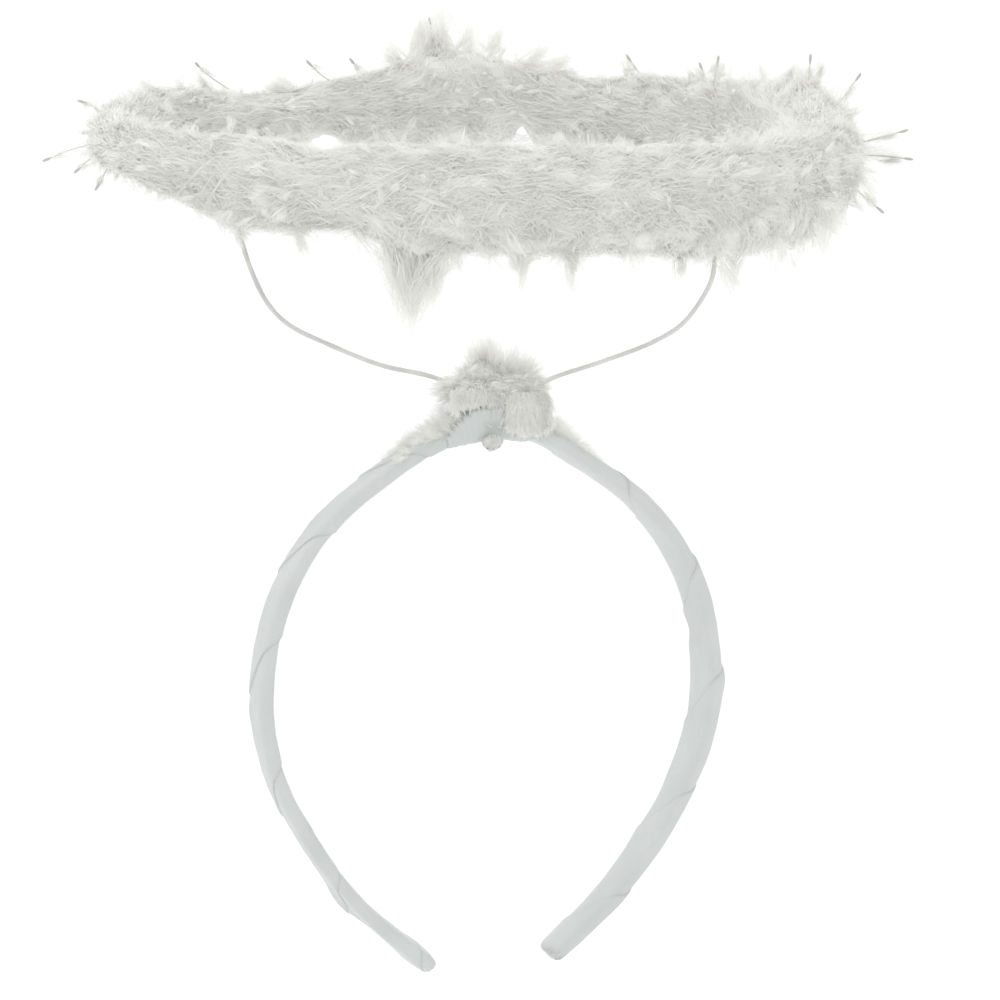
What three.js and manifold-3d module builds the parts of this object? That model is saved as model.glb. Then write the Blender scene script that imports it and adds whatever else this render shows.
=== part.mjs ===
// A halo headband: a ribbon-wound band that carries a ring of white fluff on one bent wire.
// Millimetres, +Z up, -Y towards the front of the head, +X to the wearer's left.
// The origin is the middle of the crown's underside, where it sits on the head.

import * as THREE from 'three';
import { mergeVertices } from 'three/addons/utils/BufferGeometryUtils.js';
import Module from 'manifold-3d';

// Headband
const BAND_SPREAD = 133; // between the middles of the two limbs, at the widest
const BAND_DROP = 152; // from the crown down to the ends of the limbs
const BAND_WIDTH = 15; // front to back
const BAND_THICKNESS = 4; // plastic strip with its ribbon
const TIP_ROUNDING = 4; // length over which an end rounds off
const TIP_SHARE = 0.55; // what is left of the band's section at its very end
const LIMB_TOE_DEG = 3; // how far a limb's outer face turns to the back
const RIBBON_PITCH = 35; // along the band, for one turn of the ribbon
const RIBBON_STEP = 0.4; // how far one turn stands on the last

// Crown: the ribbon turns that tie the wire's foot to the band, and their knot
const BINDING_TURN_WIDTH = 5; // what shows of each turn of ribbon
const BINDING_RIBBON_WIDTH = 6.75; // the turns overlap
const BINDING_TURNS_LEFT = 2; // beside the turn on the band's middle
const BINDING_TURNS_RIGHT = 1;
const BINDING_WALL = 0.8; // ribbon under the band
const BINDING_SIDE = 1.6; // ribbon in front of the band and behind it
const BINDING_CHAMFER = 0.8; // along its lower edges
const BINDING_LAP = 0.25; // how far every other turn stands out
const BINDING_HEIGHT = 12; // above the head
const BINDING_SLOPE = 0.9; // how much lower each turn is than the one nearer the middle
const KNOT_WIDTH = 4;
const KNOT_HEIGHT = 4.4;
const KNOT_SHIFT = -2.7; // sideways from the band's middle

// Fluff tuft on the crown
const TUFT_LENGTH = 34;
const TUFT_DEPTH = 22;
const TUFT_HEIGHT = 19; // top of its dome, above the head
const TUFT_THICKNESS = 12; // of the dome
const TUFT_SHIFT = 1.5; // sideways from the band's middle
const TUFT_LOCK = 8; // how far its longest locks stand out of the dome
const TUFT_SKIRT = 16; // how far its flat locks run along the band on each side

// Wire and halo, which lie in a frame that is turned about the upright against the band
const HALO_TURN_DEG = -20;
const WIRE_DIAMETER = 1.3;
const WIRE_FOOT_HEIGHT = 8.6;
const WIRE_HALF_SPREAD = 67; // from the halo's middle line to where an end goes into the fluff
const HALO_RADIUS = 106; // of the line through the middle of the fluff
const HALO_HEIGHT = 82.5; // of the ring's middle, above the head
const HALO_SHIFT = -6; // of the ring's middle line, sideways from the crown
const HALO_TILT_DEG = 7.25; // back of the ring up
const HALO_ROLL_DEG = -1.5; // +X side of the ring down
const FLUFF_REACH = 20; // of the longest ordinary locks, from the ring's middle line
const FLUFF_BACKING = 0.6; // share of the reach that is closed fluff, under the locks
const CLEARANCE = 0.3;

// Half of the band's middle line, as shares of half its spread and of its drop, with the width as a share
const BAND_ROWS = [
  { out: 0, down: 0, width: 1 },
  { out: 0.2, down: 0.0155, width: 1 },
  { out: 0.41, down: 0.064, width: 1 },
  { out: 0.725, down: 0.169, width: 1 },
  { out: 0.925, down: 0.307, width: 1 },
  { out: 1, down: 0.479, width: 1 },
  { out: 0.955, down: 0.612, width: 0.97 },
  { out: 0.8, down: 0.751, width: 0.92 },
  { out: 0.575, down: 0.881, width: 0.87 },
  { out: 0.27, down: 1, width: 0.8 },
];

// The wire's two arms, as shares of the way out to the fluff and of the way up to it
const LEFT_ARM_ROWS = [
  { out: 0.085, up: 0.03 },
  { out: 0.189, up: 0.124 },
  { out: 0.419, up: 0.189 },
  { out: 0.611, up: 0.275 },
  { out: 0.764, up: 0.36 },
  { out: 0.841, up: 0.446 },
  { out: 0.9, up: 0.575 },
  { out: 0.95, up: 0.75 },
  { out: 1, up: 1 },
];
const RIGHT_ARM_ROWS = [
  { out: 0.1, up: 0.03 },
  { out: 0.269, up: 0.131 },
  { out: 0.508, up: 0.212 },
  { out: 0.738, up: 0.298 },
  { out: 0.875, up: 0.379 },
  { out: 0.967, up: 0.493 },
  { out: 1.02, up: 0.606 },
  { out: 1.02, up: 0.8 },
  { out: 1, up: 1 },
];

// The fluff round the ring, from its +X end by the back: how far it reaches up, down and to each side,
// as shares of FLUFF_REACH
const FLUFF_ROWS = [
  { turn: 0, up: 0.8, down: 0.95, side: 0.72 },
  { turn: 0.083, up: 0.72, down: 0.55, side: 0.6 },
  { turn: 0.167, up: 0.58, down: 0.56, side: 0.5 },
  { turn: 0.25, up: 0.62, down: 0.6, side: 0.5 },
  { turn: 0.3, up: 0.48, down: 0.6, side: 0.48 },
  { turn: 0.375, up: 0.34, down: 0.55, side: 0.44 },
  { turn: 0.43, up: 0.45, down: 0.45, side: 0.42 },
  { turn: 0.5, up: 0.45, down: 0.4, side: 0.45 },
  { turn: 0.583, up: 0.45, down: 0.38, side: 0.45 },
  { turn: 0.667, up: 0.58, down: 0.78, side: 0.58 },
  { turn: 0.708, up: 0.64, down: 0.7, side: 0.6 },
  { turn: 0.75, up: 0.68, down: 0.88, side: 0.62 },
  { turn: 0.792, up: 0.7, down: 1.1, side: 0.66 },
  { turn: 0.85, up: 0.72, down: 0.98, side: 0.68 },
  { turn: 0.917, up: 0.75, down: 1.08, side: 0.7 },
  { turn: 0.958, up: 0.78, down: 1, side: 0.72 },
];

// Longer tufts that stand out of the ring, with their reach as a share of FLUFF_REACH
const RING_TUFTS = [
  { turn: 0.262, slope: 85, reach: 1.38, fan: 1.4, locks: 7 },
  { turn: 0.724, slope: -84, reach: 1.62, fan: 0.9, locks: 6 },
  { turn: 0.005, slope: 5, reach: 0.95, fan: 1.4, locks: 5 },
  { turn: 0.505, slope: 0, reach: 0.85, fan: 1.4, locks: 4 },
];

// Where the tuft laps down over the band beside the binding: half sizes and places, as shares of
// the tuft's length, depth, thickness and height
const TUFT_LAPS = [
  { length: 0.16, depth: 0.5, height: 0.52, side: 0.335, up: 0.37 },
  { length: 0.1, depth: 0.4, height: 0.5, side: -0.48, up: 0.46 },
];

const degrees = THREE.MathUtils.degToRad;
const WORLD_BACK = new THREE.Vector3(0, 1, 0);
const wasm = await Module();
wasm.setup();

// A number from 0 to 1 that is always the same for the same two counts
function scatter(count, kind) {
  const wave = Math.sin(count * 12.9898 + kind * 78.233) * 43758.5453;
  return wave - Math.floor(wave);
}

function toSolid(geometry) {
  const plain = geometry.clone();
  plain.deleteAttribute('normal');
  plain.deleteAttribute('uv');
  const merged = mergeVertices(plain, 1e-4);
  const vertProperties = new Float32Array(merged.attributes.position.array);
  const triVerts = new Uint32Array(merged.index.array);
  return new wasm.Manifold(new wasm.Mesh({ numProp: 3, vertProperties, triVerts }));
}

function toGeometry(solid) {
  const mesh = solid.getMesh();
  const geometry = new THREE.BufferGeometry();
  geometry.setAttribute('position', new THREE.BufferAttribute(mesh.vertProperties, 3));
  geometry.setIndex(new THREE.BufferAttribute(mesh.triVerts, 1));
  geometry.computeVertexNormals();
  return geometry;
}

// A closed body through rings of points, which all have as many points and turn the same way
function loft(rings) {
  const sides = rings[0].length;
  const points = rings.flat();
  const triangles = [];
  for (let i = 0; i < rings.length - 1; i += 1) {
    for (let k = 0; k < sides; k += 1) {
      const across = (k + 1) % sides;
      const [here, next] = [i * sides, (i + 1) * sides];
      triangles.push(here + k, here + across, next + across);
      triangles.push(here + k, next + across, next + k);
    }
  }
  const last = (rings.length - 1) * sides;
  points.push(middleOf(rings[0]), middleOf(rings[rings.length - 1]));
  for (let k = 0; k < sides; k += 1) {
    const across = (k + 1) % sides;
    triangles.push(points.length - 2, across, k);
    triangles.push(points.length - 1, last + k, last + across);
  }
  return bodyOf(points, triangles);
}

// A closed ring through rings of points. Every other point is a tip, and each square between four
// points is split along the line that joins no tips, so that each tip stands by itself.
function tuftedRing(rings) {
  const sides = rings[0].length;
  const triangles = [];
  for (let i = 0; i < rings.length; i += 1) {
    for (let k = 0; k < sides; k += 1) {
      const across = (k + 1) % sides;
      const [here, next] = [i * sides, ((i + 1) % rings.length) * sides];
      if (isTip(i, k)) {
        triangles.push(here + k, here + across, next + k);
        triangles.push(here + across, next + across, next + k);
      } else {
        triangles.push(here + k, here + across, next + across);
        triangles.push(here + k, next + across, next + k);
      }
    }
  }
  return bodyOf(rings.flat(), triangles);
}

function isTip(i, k) {
  return (i + k) % 2 === 0;
}

function middleOf(ring) {
  const middle = new THREE.Vector3();
  ring.forEach((point) => middle.add(point));
  return middle.divideScalar(ring.length);
}

// A closed body from points and triangles, with its faces turned outwards
function bodyOf(points, triangles) {
  let volume = 0;
  for (let i = 0; i < triangles.length; i += 3) {
    const [a, b, c] = [0, 1, 2].map((corner) => points[triangles[i + corner]]);
    volume += a.dot(b.clone().cross(c)) / 6;
  }
  const order = volume < 0 ? [...triangles].reverse() : triangles;
  const geometry = new THREE.BufferGeometry().setFromPoints(points);
  geometry.setIndex(order);
  return geometry;
}

// One lock of fluff: broad and flat at its root, bending to a point
function lock(root, tip, sideways, width, sag) {
  const way = tip.clone().sub(root);
  const across = sideways.clone().addScaledVector(way, -sideways.dot(way) / way.lengthSq()).normalize();
  const thick = across.clone().cross(way).normalize();
  const ringAt = (share, size) => {
    const middle = root.clone().addScaledVector(way, share);
    middle.z -= sag * 4 * share * (1 - share);
    return [[1, 0], [0, 0.6], [-1, 0], [0, -0.6]].map(([a, b]) =>
      middle.clone().addScaledVector(across, a * size / 2).addScaledVector(thick, b * size / 2));
  };
  const rings = [ringAt(0, width), ringAt(0.5, width * 0.72)];
  const points = [...rings.flat(), tip.clone()];
  const triangles = [0, 1, 2, 0, 2, 3];
  for (let k = 0; k < 4; k += 1) {
    const across4 = (k + 1) % 4;
    triangles.push(k, 4 + across4, across4, k, 4 + k, 4 + across4);
    triangles.push(4 + k, 8, 4 + across4);
  }
  return bodyOf(points, triangles);
}

// The band's middle line, from the end of the -X limb over the crown to the end of the +X limb
const BAND_TOP = BINDING_WALL + CLEARANCE + RIBBON_STEP + BAND_THICKNESS / 2;
const bandRows = [
  ...BAND_ROWS.slice(1).reverse().map((row) => ({ ...row, out: -row.out })),
  ...BAND_ROWS,
];
const bandLine = new THREE.CatmullRomCurve3(
  bandRows.map((row) => new THREE.Vector3(row.out * BAND_SPREAD / 2, 0, BAND_TOP - row.down * BAND_DROP)),
  false,
  'centripetal',
);
bandLine.arcLengthDivisions = 800;
const bandLength = bandLine.getLength();
const bandWidths = new THREE.CatmullRomCurve3(
  bandRows.map((row) => new THREE.Vector3(row.width, 0, 0)),
);

// The band's place, directions and width at a share of its length
function bandAt(share) {
  const t = bandLine.getUtoTmapping(share);
  const place = bandLine.getPoint(t);
  const along = bandLine.getTangent(t);
  const outer = new THREE.Vector3(-along.z, 0, along.x).normalize();
  const limb = Math.min(1, Math.abs(place.x) / (BAND_SPREAD / 2));
  const toe = degrees(LIMB_TOE_DEG) * limb;
  const facing = outer.clone().multiplyScalar(Math.cos(toe)).addScaledVector(WORLD_BACK, Math.sin(toe));
  const back = WORLD_BACK.clone().multiplyScalar(Math.cos(toe)).addScaledVector(outer, -Math.sin(toe));
  return { place, along, facing, back, width: BAND_WIDTH * bandWidths.getPoint(t).x };
}

// Sixteen points of the band's rounded section, from the front edge over the inner face:
// how far back and how far out each lies, and its share of the way round
function bandSection(width, thickness) {
  const round = thickness * 0.45;
  const [w, t] = [width / 2, thickness / 2];
  const corners = [
    [-w, -t + round], [-w + 0.3 * round, -t + 0.3 * round], [-w + round, -t],
    [-w / 3, -t], [w / 3, -t],
    [w - round, -t], [w - 0.3 * round, -t + 0.3 * round], [w, -t + round],
    [w, t - round], [w - 0.3 * round, t - 0.3 * round], [w - round, t],
    [w / 3, t], [-w / 3, t],
    [-w + round, t], [-w + 0.3 * round, t - 0.3 * round], [-w, t - round],
  ];
  const steps = corners.map(([back, out], k) => {
    const next = corners[(k + 1) % corners.length];
    return Math.hypot(next[0] - back, next[1] - out);
  });
  const girth = steps.reduce((sum, step) => sum + step, 0);
  let passed = 0;
  return corners.map(([back, out], k) => {
    const turn = passed / girth;
    passed += steps[k];
    return { back, out, turn };
  });
}

function onBand(at, corner) {
  return at.place.clone().addScaledVector(at.back, corner.back).addScaledVector(at.facing, corner.out);
}

// The plain outer form of the band, grown by a little, with its ends rounded off
function bandForm(grow) {
  const rows = 90;
  const rounding = TIP_ROUNDING / bandLength;
  const endShares = [0, 0.15, 0.5];
  const shares = [
    ...endShares.map((step) => step * rounding),
    ...Array.from({ length: rows + 1 }, (_, i) => rounding + ((1 - 2 * rounding) * i) / rows),
    ...endShares.toReversed().map((step) => 1 - step * rounding),
  ];
  const rings = shares.map((share) => {
    const fromEnd = Math.min(1, Math.min(share, 1 - share) / rounding);
    const size = THREE.MathUtils.lerp(TIP_SHARE, 1, Math.sqrt(1 - (1 - fromEnd) ** 2));
    const at = bandAt(share);
    const section = bandSection(at.width * size + 2 * grow, BAND_THICKNESS * size + 2 * grow);
    return section.map((corner) => onBand(at, corner));
  });
  return toSolid(loft(rings));
}

// The ribbon's turns as one skin. Its rows of points run round the band with the ribbon, so that each
// turn begins in a clean step on the turn before. The skin runs past both ends of the band.
function ribbonTurns() {
  const rowShares = [0, 0.2, 0.4, 0.6, 0.8, 0.97];
  const perTurn = rowShares.length;
  const turns = Math.ceil(bandLength / RIBBON_PITCH) + 3;
  const start = (bandLength - turns * RIBBON_PITCH) / 2;
  const rows = turns * perTurn;
  const sides = bandSection(BAND_WIDTH, BAND_THICKNESS).length;
  const points = [];
  for (let j = 0; j <= rows; j += 1) {
    const within = rowShares[j % perTurn];
    const along = start + (Math.floor(j / perTurn) + within) * RIBBON_PITCH;
    for (let k = 0; k < sides; k += 1) {
      points.push(ribbonPoint(along, k, within));
    }
  }
  const index = (j, k) => (k < sides ? j * sides + k : (j + perTurn) * sides);
  const triangles = [];
  for (let j = 0; j < rows; j += 1) {
    const ends = j + 1 + perTurn > rows ? sides - 1 : sides;
    for (let k = 0; k < ends; k += 1) {
      triangles.push(index(j, k), index(j, k + 1), index(j + 1, k));
      triangles.push(index(j, k + 1), index(j + 1, k + 1), index(j + 1, k));
    }
  }
  const startRim = [];
  const endRim = [];
  for (let k = 0; k < sides; k += 1) {
    startRim.push(index(0, k));
    endRim.push(index(rows, k));
  }
  for (let j = 0; j < perTurn; j += 1) {
    startRim.push(index(perTurn - j, 0));
    endRim.push(index(rows - 1 - j, sides - 1));
  }
  closeRim(points, triangles, startRim.toReversed());
  closeRim(points, triangles, endRim);
  return toSolid(bodyOf(points, triangles));
}

function ribbonPoint(along, corner, within) {
  const { turn } = bandSection(BAND_WIDTH, BAND_THICKNESS)[corner];
  const distance = along + turn * RIBBON_PITCH;
  const onTheBand = THREE.MathUtils.clamp(distance, 0, bandLength);
  const at = bandAt(onTheBand / bandLength);
  const raise = RIBBON_STEP * (1 - within);
  const edge = bandSection(at.width + 2 * raise, BAND_THICKNESS + 2 * raise)[corner];
  return onBand(at, edge).addScaledVector(at.along, distance - onTheBand);
}

function closeRim(points, triangles, rim) {
  const middle = points.push(middleOf(rim.map((i) => points[i]))) - 1;
  rim.forEach((here, i) => triangles.push(middle, here, rim[(i + 1) % rim.length]));
}

function makeHeadband() {
  return ribbonTurns().intersect(bandForm(2 * RIBBON_STEP));
}

// Where the band's middle line passes a distance sideways from its crown
function bandAtSide(side) {
  let [low, high] = [0.25, 0.75];
  while (high - low > 1e-6) {
    const middle = (low + high) / 2;
    [low, high] = bandAt(middle).place.x < side ? [middle, high] : [low, middle];
  }
  return bandAt(low);
}

// One turn of the binding: flat under the band, upright beside it, and arched over the wire's foot
function bindingTurn(number, grow) {
  const inner = BAND_WIDTH / 2 + RIBBON_STEP + CLEARANCE;
  const half = inner + BINDING_SIDE + BINDING_LAP * Math.abs(number % 2) + grow;
  const under = -BAND_TOP - grow;
  const roof = BINDING_HEIGHT - BAND_TOP + grow - BINDING_SLOPE * Math.abs(number);
  const shoulder = roof * 0.45;
  const outline = new THREE.Shape();
  outline.moveTo(-half + BINDING_CHAMFER, under);
  outline.lineTo(half - BINDING_CHAMFER, under);
  outline.lineTo(half, under + BINDING_CHAMFER);
  outline.lineTo(half, shoulder);
  outline.quadraticCurveTo(half * 0.92, roof, 0, roof);
  outline.quadraticCurveTo(-half * 0.92, roof, -half, shoulder);
  outline.lineTo(-half, under + BINDING_CHAMFER);
  const depth = BINDING_RIBBON_WIDTH + 2 * grow;
  const body = new THREE.ExtrudeGeometry(outline, { depth, bevelEnabled: false, curveSegments: 4 });
  body.translate(0, 0, -depth / 2);
  const at = bandAtSide(number * BINDING_TURN_WIDTH);
  body.applyMatrix4(new THREE.Matrix4().makeBasis(at.back, at.facing, at.along).setPosition(at.place));
  return toSolid(body);
}

function bindingForm(grow) {
  let form = bindingTurn(0, grow);
  for (let i = -BINDING_TURNS_LEFT; i <= BINDING_TURNS_RIGHT; i += 1) {
    form = form.add(bindingTurn(i, grow));
  }
  return form;
}

function makeBinding() {
  return bindingForm(0)
    .subtract(bandForm(RIBBON_STEP + CLEARANCE))
    .subtract(inBandFrame(wireForm(CLEARANCE)));
}

// A ball of thread with two short cut ends, in front of the binding's lower edge
function makeKnot() {
  const front = -(BAND_WIDTH / 2 + RIBBON_STEP + CLEARANCE + BINDING_SIDE + BINDING_LAP + CLEARANCE);
  const middle = new THREE.Vector3(KNOT_SHIFT, front - KNOT_WIDTH / 3, BINDING_CHAMFER + 0.2);
  const ball = new THREE.SphereGeometry(1, 10, 7);
  ball.scale(KNOT_WIDTH / 2, KNOT_WIDTH / 3, KNOT_HEIGHT / 2);
  ball.translate(middle.x, middle.y, middle.z);
  let knot = toSolid(ball);
  for (const way of [-1, 1]) {
    const end = middle.clone().add(new THREE.Vector3(way * KNOT_WIDTH * 0.55, 0, -KNOT_HEIGHT * 0.75));
    knot = knot.add(toSolid(lock(middle, end, WORLD_BACK, KNOT_WIDTH * 0.3, 0)));
  }
  return knot;
}

// The fluff on the crown: a low dome over the binding, a lap of it down the front beside the binding,
// upright locks on top, and flat locks along the band on both sides
function makeTuft() {
  const top = new THREE.Vector3(TUFT_SHIFT, 0, TUFT_HEIGHT - TUFT_THICKNESS / 2);
  const domeSize = new THREE.Vector3(TUFT_LENGTH, TUFT_DEPTH, TUFT_THICKNESS);
  const dome = new THREE.SphereGeometry(1, 18, 10);
  dome.scale(TUFT_LENGTH / 2, TUFT_DEPTH / 2, TUFT_THICKNESS / 2);
  dome.translate(top.x, top.y, top.z);
  let fluff = toSolid(dome);
  for (const row of TUFT_LAPS) {
    const lap = new THREE.SphereGeometry(1, 12, 8);
    lap.scale(TUFT_LENGTH * row.length, TUFT_DEPTH * row.depth, TUFT_THICKNESS * row.height);
    lap.translate(TUFT_SHIFT + TUFT_LENGTH * row.side, 0, TUFT_HEIGHT * row.up);
    fluff = fluff.add(toSolid(lap));
  }
  const rows = [
    { count: 11, lean: 0.95, length: 0.45 },
    { count: 9, lean: 0.62, length: 0.6 },
    { count: 5, lean: 0.28, length: 0.95 },
  ];
  rows.forEach((row, r) => {
    for (let i = 0; i < row.count; i += 1) {
      const angle = (2 * Math.PI * (i + 0.5 * (r % 2))) / row.count;
      const way = new THREE.Vector3(
        Math.cos(angle) * row.lean,
        Math.sin(angle) * row.lean,
        Math.sqrt(1 - row.lean ** 2),
      );
      const skin = way.clone().multiply(domeSize).divideScalar(2);
      const length = TUFT_LOCK * row.length * (0.8 + 0.4 * scatter(i, r));
      const rise = new THREE.Vector3(way.x * 0.6, way.y * 0.6, Math.max(way.z, 0.35)).normalize();
      const tip = top.clone().add(skin).addScaledVector(rise, length);
      const root = top.clone().addScaledVector(skin, 0.72);
      const sideways = new THREE.Vector3(-Math.sin(angle), Math.cos(angle), 0);
      fluff = fluff.add(toSolid(lock(root, tip, sideways, TUFT_LOCK * 0.72, -0.5)));
    }
  });
  for (const way of [-1, 1]) {
    fluff = fluff.add(tuftSkirt(way));
    for (let i = 0; i < 5; i += 1) {
      fluff = fluff.add(skirtLock(way, i));
    }
  }
  return fluff
    .subtract(bindingForm(CLEARANCE))
    .subtract(bandForm(RIBBON_STEP + CLEARANCE))
    .subtract(inBandFrame(wireForm(CLEARANCE)));
}

// How far the skirt of the tuft has come along the band, how wide it is there, and how high it stands
function skirtAt(way, share) {
  const start = TUFT_LENGTH * 0.34;
  const side = TUFT_SHIFT + way * THREE.MathUtils.lerp(start, TUFT_LENGTH / 2 + TUFT_SKIRT * 0.8, share);
  const at = bandAtSide(side);
  const width = TUFT_DEPTH * THREE.MathUtils.lerp(0.8, 0.42, share);
  const height = TUFT_THICKNESS * THREE.MathUtils.lerp(0.5, 0.1, share);
  const foot = at.place.clone().addScaledVector(at.facing, BAND_THICKNESS / 2);
  return { at, width, height, foot };
}

// The flat fluff that lies along the top of the band beside the dome
function tuftSkirt(way) {
  const sides = 8;
  return toSolid(loft([0, 0.3, 0.65, 1].map((share) => {
    const { at, width, height, foot } = skirtAt(way, share);
    return Array.from({ length: sides }, (_, k) => {
      const angle = (2 * Math.PI * (k + 0.5)) / sides;
      return foot.clone()
        .addScaledVector(at.back, (Math.cos(angle) * width) / 2)
        .addScaledVector(at.facing, Math.max(Math.sin(angle) * height, -BAND_THICKNESS / 4));
    });
  })));
}

function skirtLock(way, number) {
  const row = number % 3;
  const { at, width, height, foot } = skirtAt(way, 0.25 + 0.3 * (number > 2) + 0.1 * scatter(number, 9));
  const side = (row - 1) * 0.32 * width;
  const root = foot.clone().addScaledVector(at.back, side).addScaledVector(at.facing, height * 0.4);
  const tip = foot.clone()
    .addScaledVector(at.back, side * 1.5)
    .addScaledVector(at.facing, height + 0.12 * TUFT_SKIRT)
    .addScaledVector(at.along, way * TUFT_SKIRT * (0.3 + 0.2 * scatter(number, 8)));
  return toSolid(lock(root, tip, at.back, width * 0.4, 0));
}

// The halo lies as far back as puts its middle line over the two ends of the wire
const haloBack = Math.sqrt(HALO_RADIUS ** 2 - WIRE_HALF_SPREAD ** 2);

// A point on the ring's middle line, with its outward, onward and up directions
function ringAt(turn) {
  const angle = 2 * Math.PI * turn;
  const outward = new THREE.Vector3(Math.cos(angle), Math.sin(angle), 0);
  const onward = new THREE.Vector3(-Math.sin(angle), Math.cos(angle), 0);
  const place = outward.clone().multiplyScalar(HALO_RADIUS);
  place.z = place.y * Math.tan(degrees(HALO_TILT_DEG)) + place.x * Math.tan(degrees(HALO_ROLL_DEG));
  place.add(new THREE.Vector3(HALO_SHIFT, haloBack, HALO_HEIGHT));
  return { place, outward, onward };
}

// The wire's middle line, with each end carried on by a little
function wireLine(extra) {
  const half = WIRE_HALF_SPREAD / HALO_RADIUS;
  const rightEnd = ringAt(-Math.acos(half) / (2 * Math.PI)).place;
  const leftEnd = ringAt(0.5 + Math.acos(half) / (2 * Math.PI)).place;
  const armPoint = (end) => (row) => {
    const beyond = row.up === 1 ? extra : 0;
    return new THREE.Vector3(
      end.x * row.out,
      0,
      THREE.MathUtils.lerp(WIRE_FOOT_HEIGHT, end.z, row.up) + beyond,
    );
  };
  return new THREE.CatmullRomCurve3([
    ...LEFT_ARM_ROWS.map(armPoint(leftEnd)).reverse(),
    new THREE.Vector3(0, 0, WIRE_FOOT_HEIGHT),
    ...RIGHT_ARM_ROWS.map(armPoint(rightEnd)),
  ], false, 'centripetal');
}

function wireForm(grow) {
  const sides = 8;
  const radius = WIRE_DIAMETER / 2 + grow;
  const corners = Array.from({ length: sides }, (_, k) => {
    const angle = (2 * Math.PI * k) / sides;
    return new THREE.Vector2(Math.cos(angle) * radius, Math.sin(angle) * radius);
  });
  const extrudePath = wireLine(grow);
  return toSolid(new THREE.ExtrudeGeometry(new THREE.Shape(corners), { steps: 48, extrudePath }));
}

function inBandFrame(solid) {
  return solid.rotate([0, 0, HALO_TURN_DEG]);
}

// How far the fluff reaches up, down and sideways at a share of the way round the ring
function fluffAt(turn) {
  const place = turn - Math.floor(turn);
  const after = FLUFF_ROWS.findIndex((row) => row.turn > place);
  const next = FLUFF_ROWS[after < 0 ? 0 : after];
  const last = FLUFF_ROWS[(after < 0 ? FLUFF_ROWS.length : after) - 1];
  const span = (after < 0 ? 1 : next.turn) - last.turn;
  const share = (place - last.turn) / span;
  const between = (name) => FLUFF_REACH * THREE.MathUtils.lerp(last[name], next[name], share);
  return { up: between('up'), down: between('down'), side: between('side') };
}

// A point of the fluff, at a share of its reach, in a direction round the ring's section
function fluffPoint(turn, slope, share) {
  const ring = ringAt(turn);
  const reach = fluffAt(turn);
  const way = [Math.cos(slope), Math.sin(slope)];
  const upright = way[1] > 0 ? reach.up : reach.down;
  const length = share / Math.hypot(way[0] / reach.side, way[1] / upright);
  const point = ring.place.clone().addScaledVector(ring.outward, way[0] * length);
  point.z += way[1] * length;
  return point;
}

// Every other point of the ring's grid is the tip of a lock, which leans on round the ring, and the
// points between them lie on the closed fluff under the locks
function makeHalo() {
  const steps = 112;
  const sides = 14;
  const lockLean = (FLUFF_REACH * 0.3) / (2 * Math.PI * HALO_RADIUS);
  const rings = Array.from({ length: steps }, (_, i) =>
    Array.from({ length: sides }, (_, k) => {
      const lean = isTip(i, k) ? lockLean * scatter(i, k) : 0;
      const share = isTip(i, k) ? 0.8 + 0.4 * scatter(k, i) : FLUFF_BACKING * (0.9 + 0.2 * scatter(i, k));
      return fluffPoint(i / steps + lean, (2 * Math.PI * k) / sides, share);
    }));
  let fluff = toSolid(tuftedRing(rings));
  for (const tuft of RING_TUFTS) {
    for (let i = 0; i < tuft.locks; i += 1) {
      fluff = fluff.add(tuftLock(tuft, i));
    }
  }
  return fluff.subtract(wireForm(CLEARANCE));
}

// One lock of a longer tuft: they fan out along the ring from the tuft's middle
function tuftLock(tuft, number) {
  const spread = number / (tuft.locks - 1) - 0.5;
  const slope = degrees(tuft.slope) + 0.35 * (scatter(number, 4) - 0.5);
  const ring = ringAt(tuft.turn);
  const root = fluffPoint(tuft.turn + 0.025 * spread, slope, FLUFF_BACKING * 0.5);
  const reach = FLUFF_REACH * tuft.reach * (1 - 1.1 * spread ** 2) * (0.85 + 0.15 * scatter(number, 5));
  const tip = ring.place.clone()
    .addScaledVector(ring.outward, Math.cos(slope) * reach)
    .addScaledVector(ring.onward, spread * FLUFF_REACH * tuft.fan);
  tip.z += Math.sin(slope) * reach;
  return toSolid(lock(root, tip, ring.onward, FLUFF_REACH * 0.5, 0));
}

function finish(color, roughness, metalness) {
  return new THREE.MeshStandardMaterial({ color, roughness, metalness });
}

function part(name, solid, material) {
  const mesh = new THREE.Mesh(toGeometry(solid), material);
  mesh.name = name;
  return mesh;
}

const halo = new THREE.Group();
halo.rotation.z = degrees(HALO_TURN_DEG);
halo.add(
  part('halo_wire', wireForm(0), finish('#e6e7e4', 0.45, 0.1)),
  part('halo', makeHalo(), finish('#eeeeeb', 0.95, 0)),
);

const headpiece = new THREE.Group();
headpiece.add(
  part('headband', makeHeadband(), finish('#e9ecea', 0.5, 0)),
  part('crown_binding', makeBinding(), finish('#eceeee', 0.55, 0)),
  part('binding_knot', makeKnot(), finish('#d9dad7', 0.7, 0)),
  part('crown_tuft', makeTuft(), finish('#eeeeeb', 0.95, 0)),
  halo,
);

export default headpiece;
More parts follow.
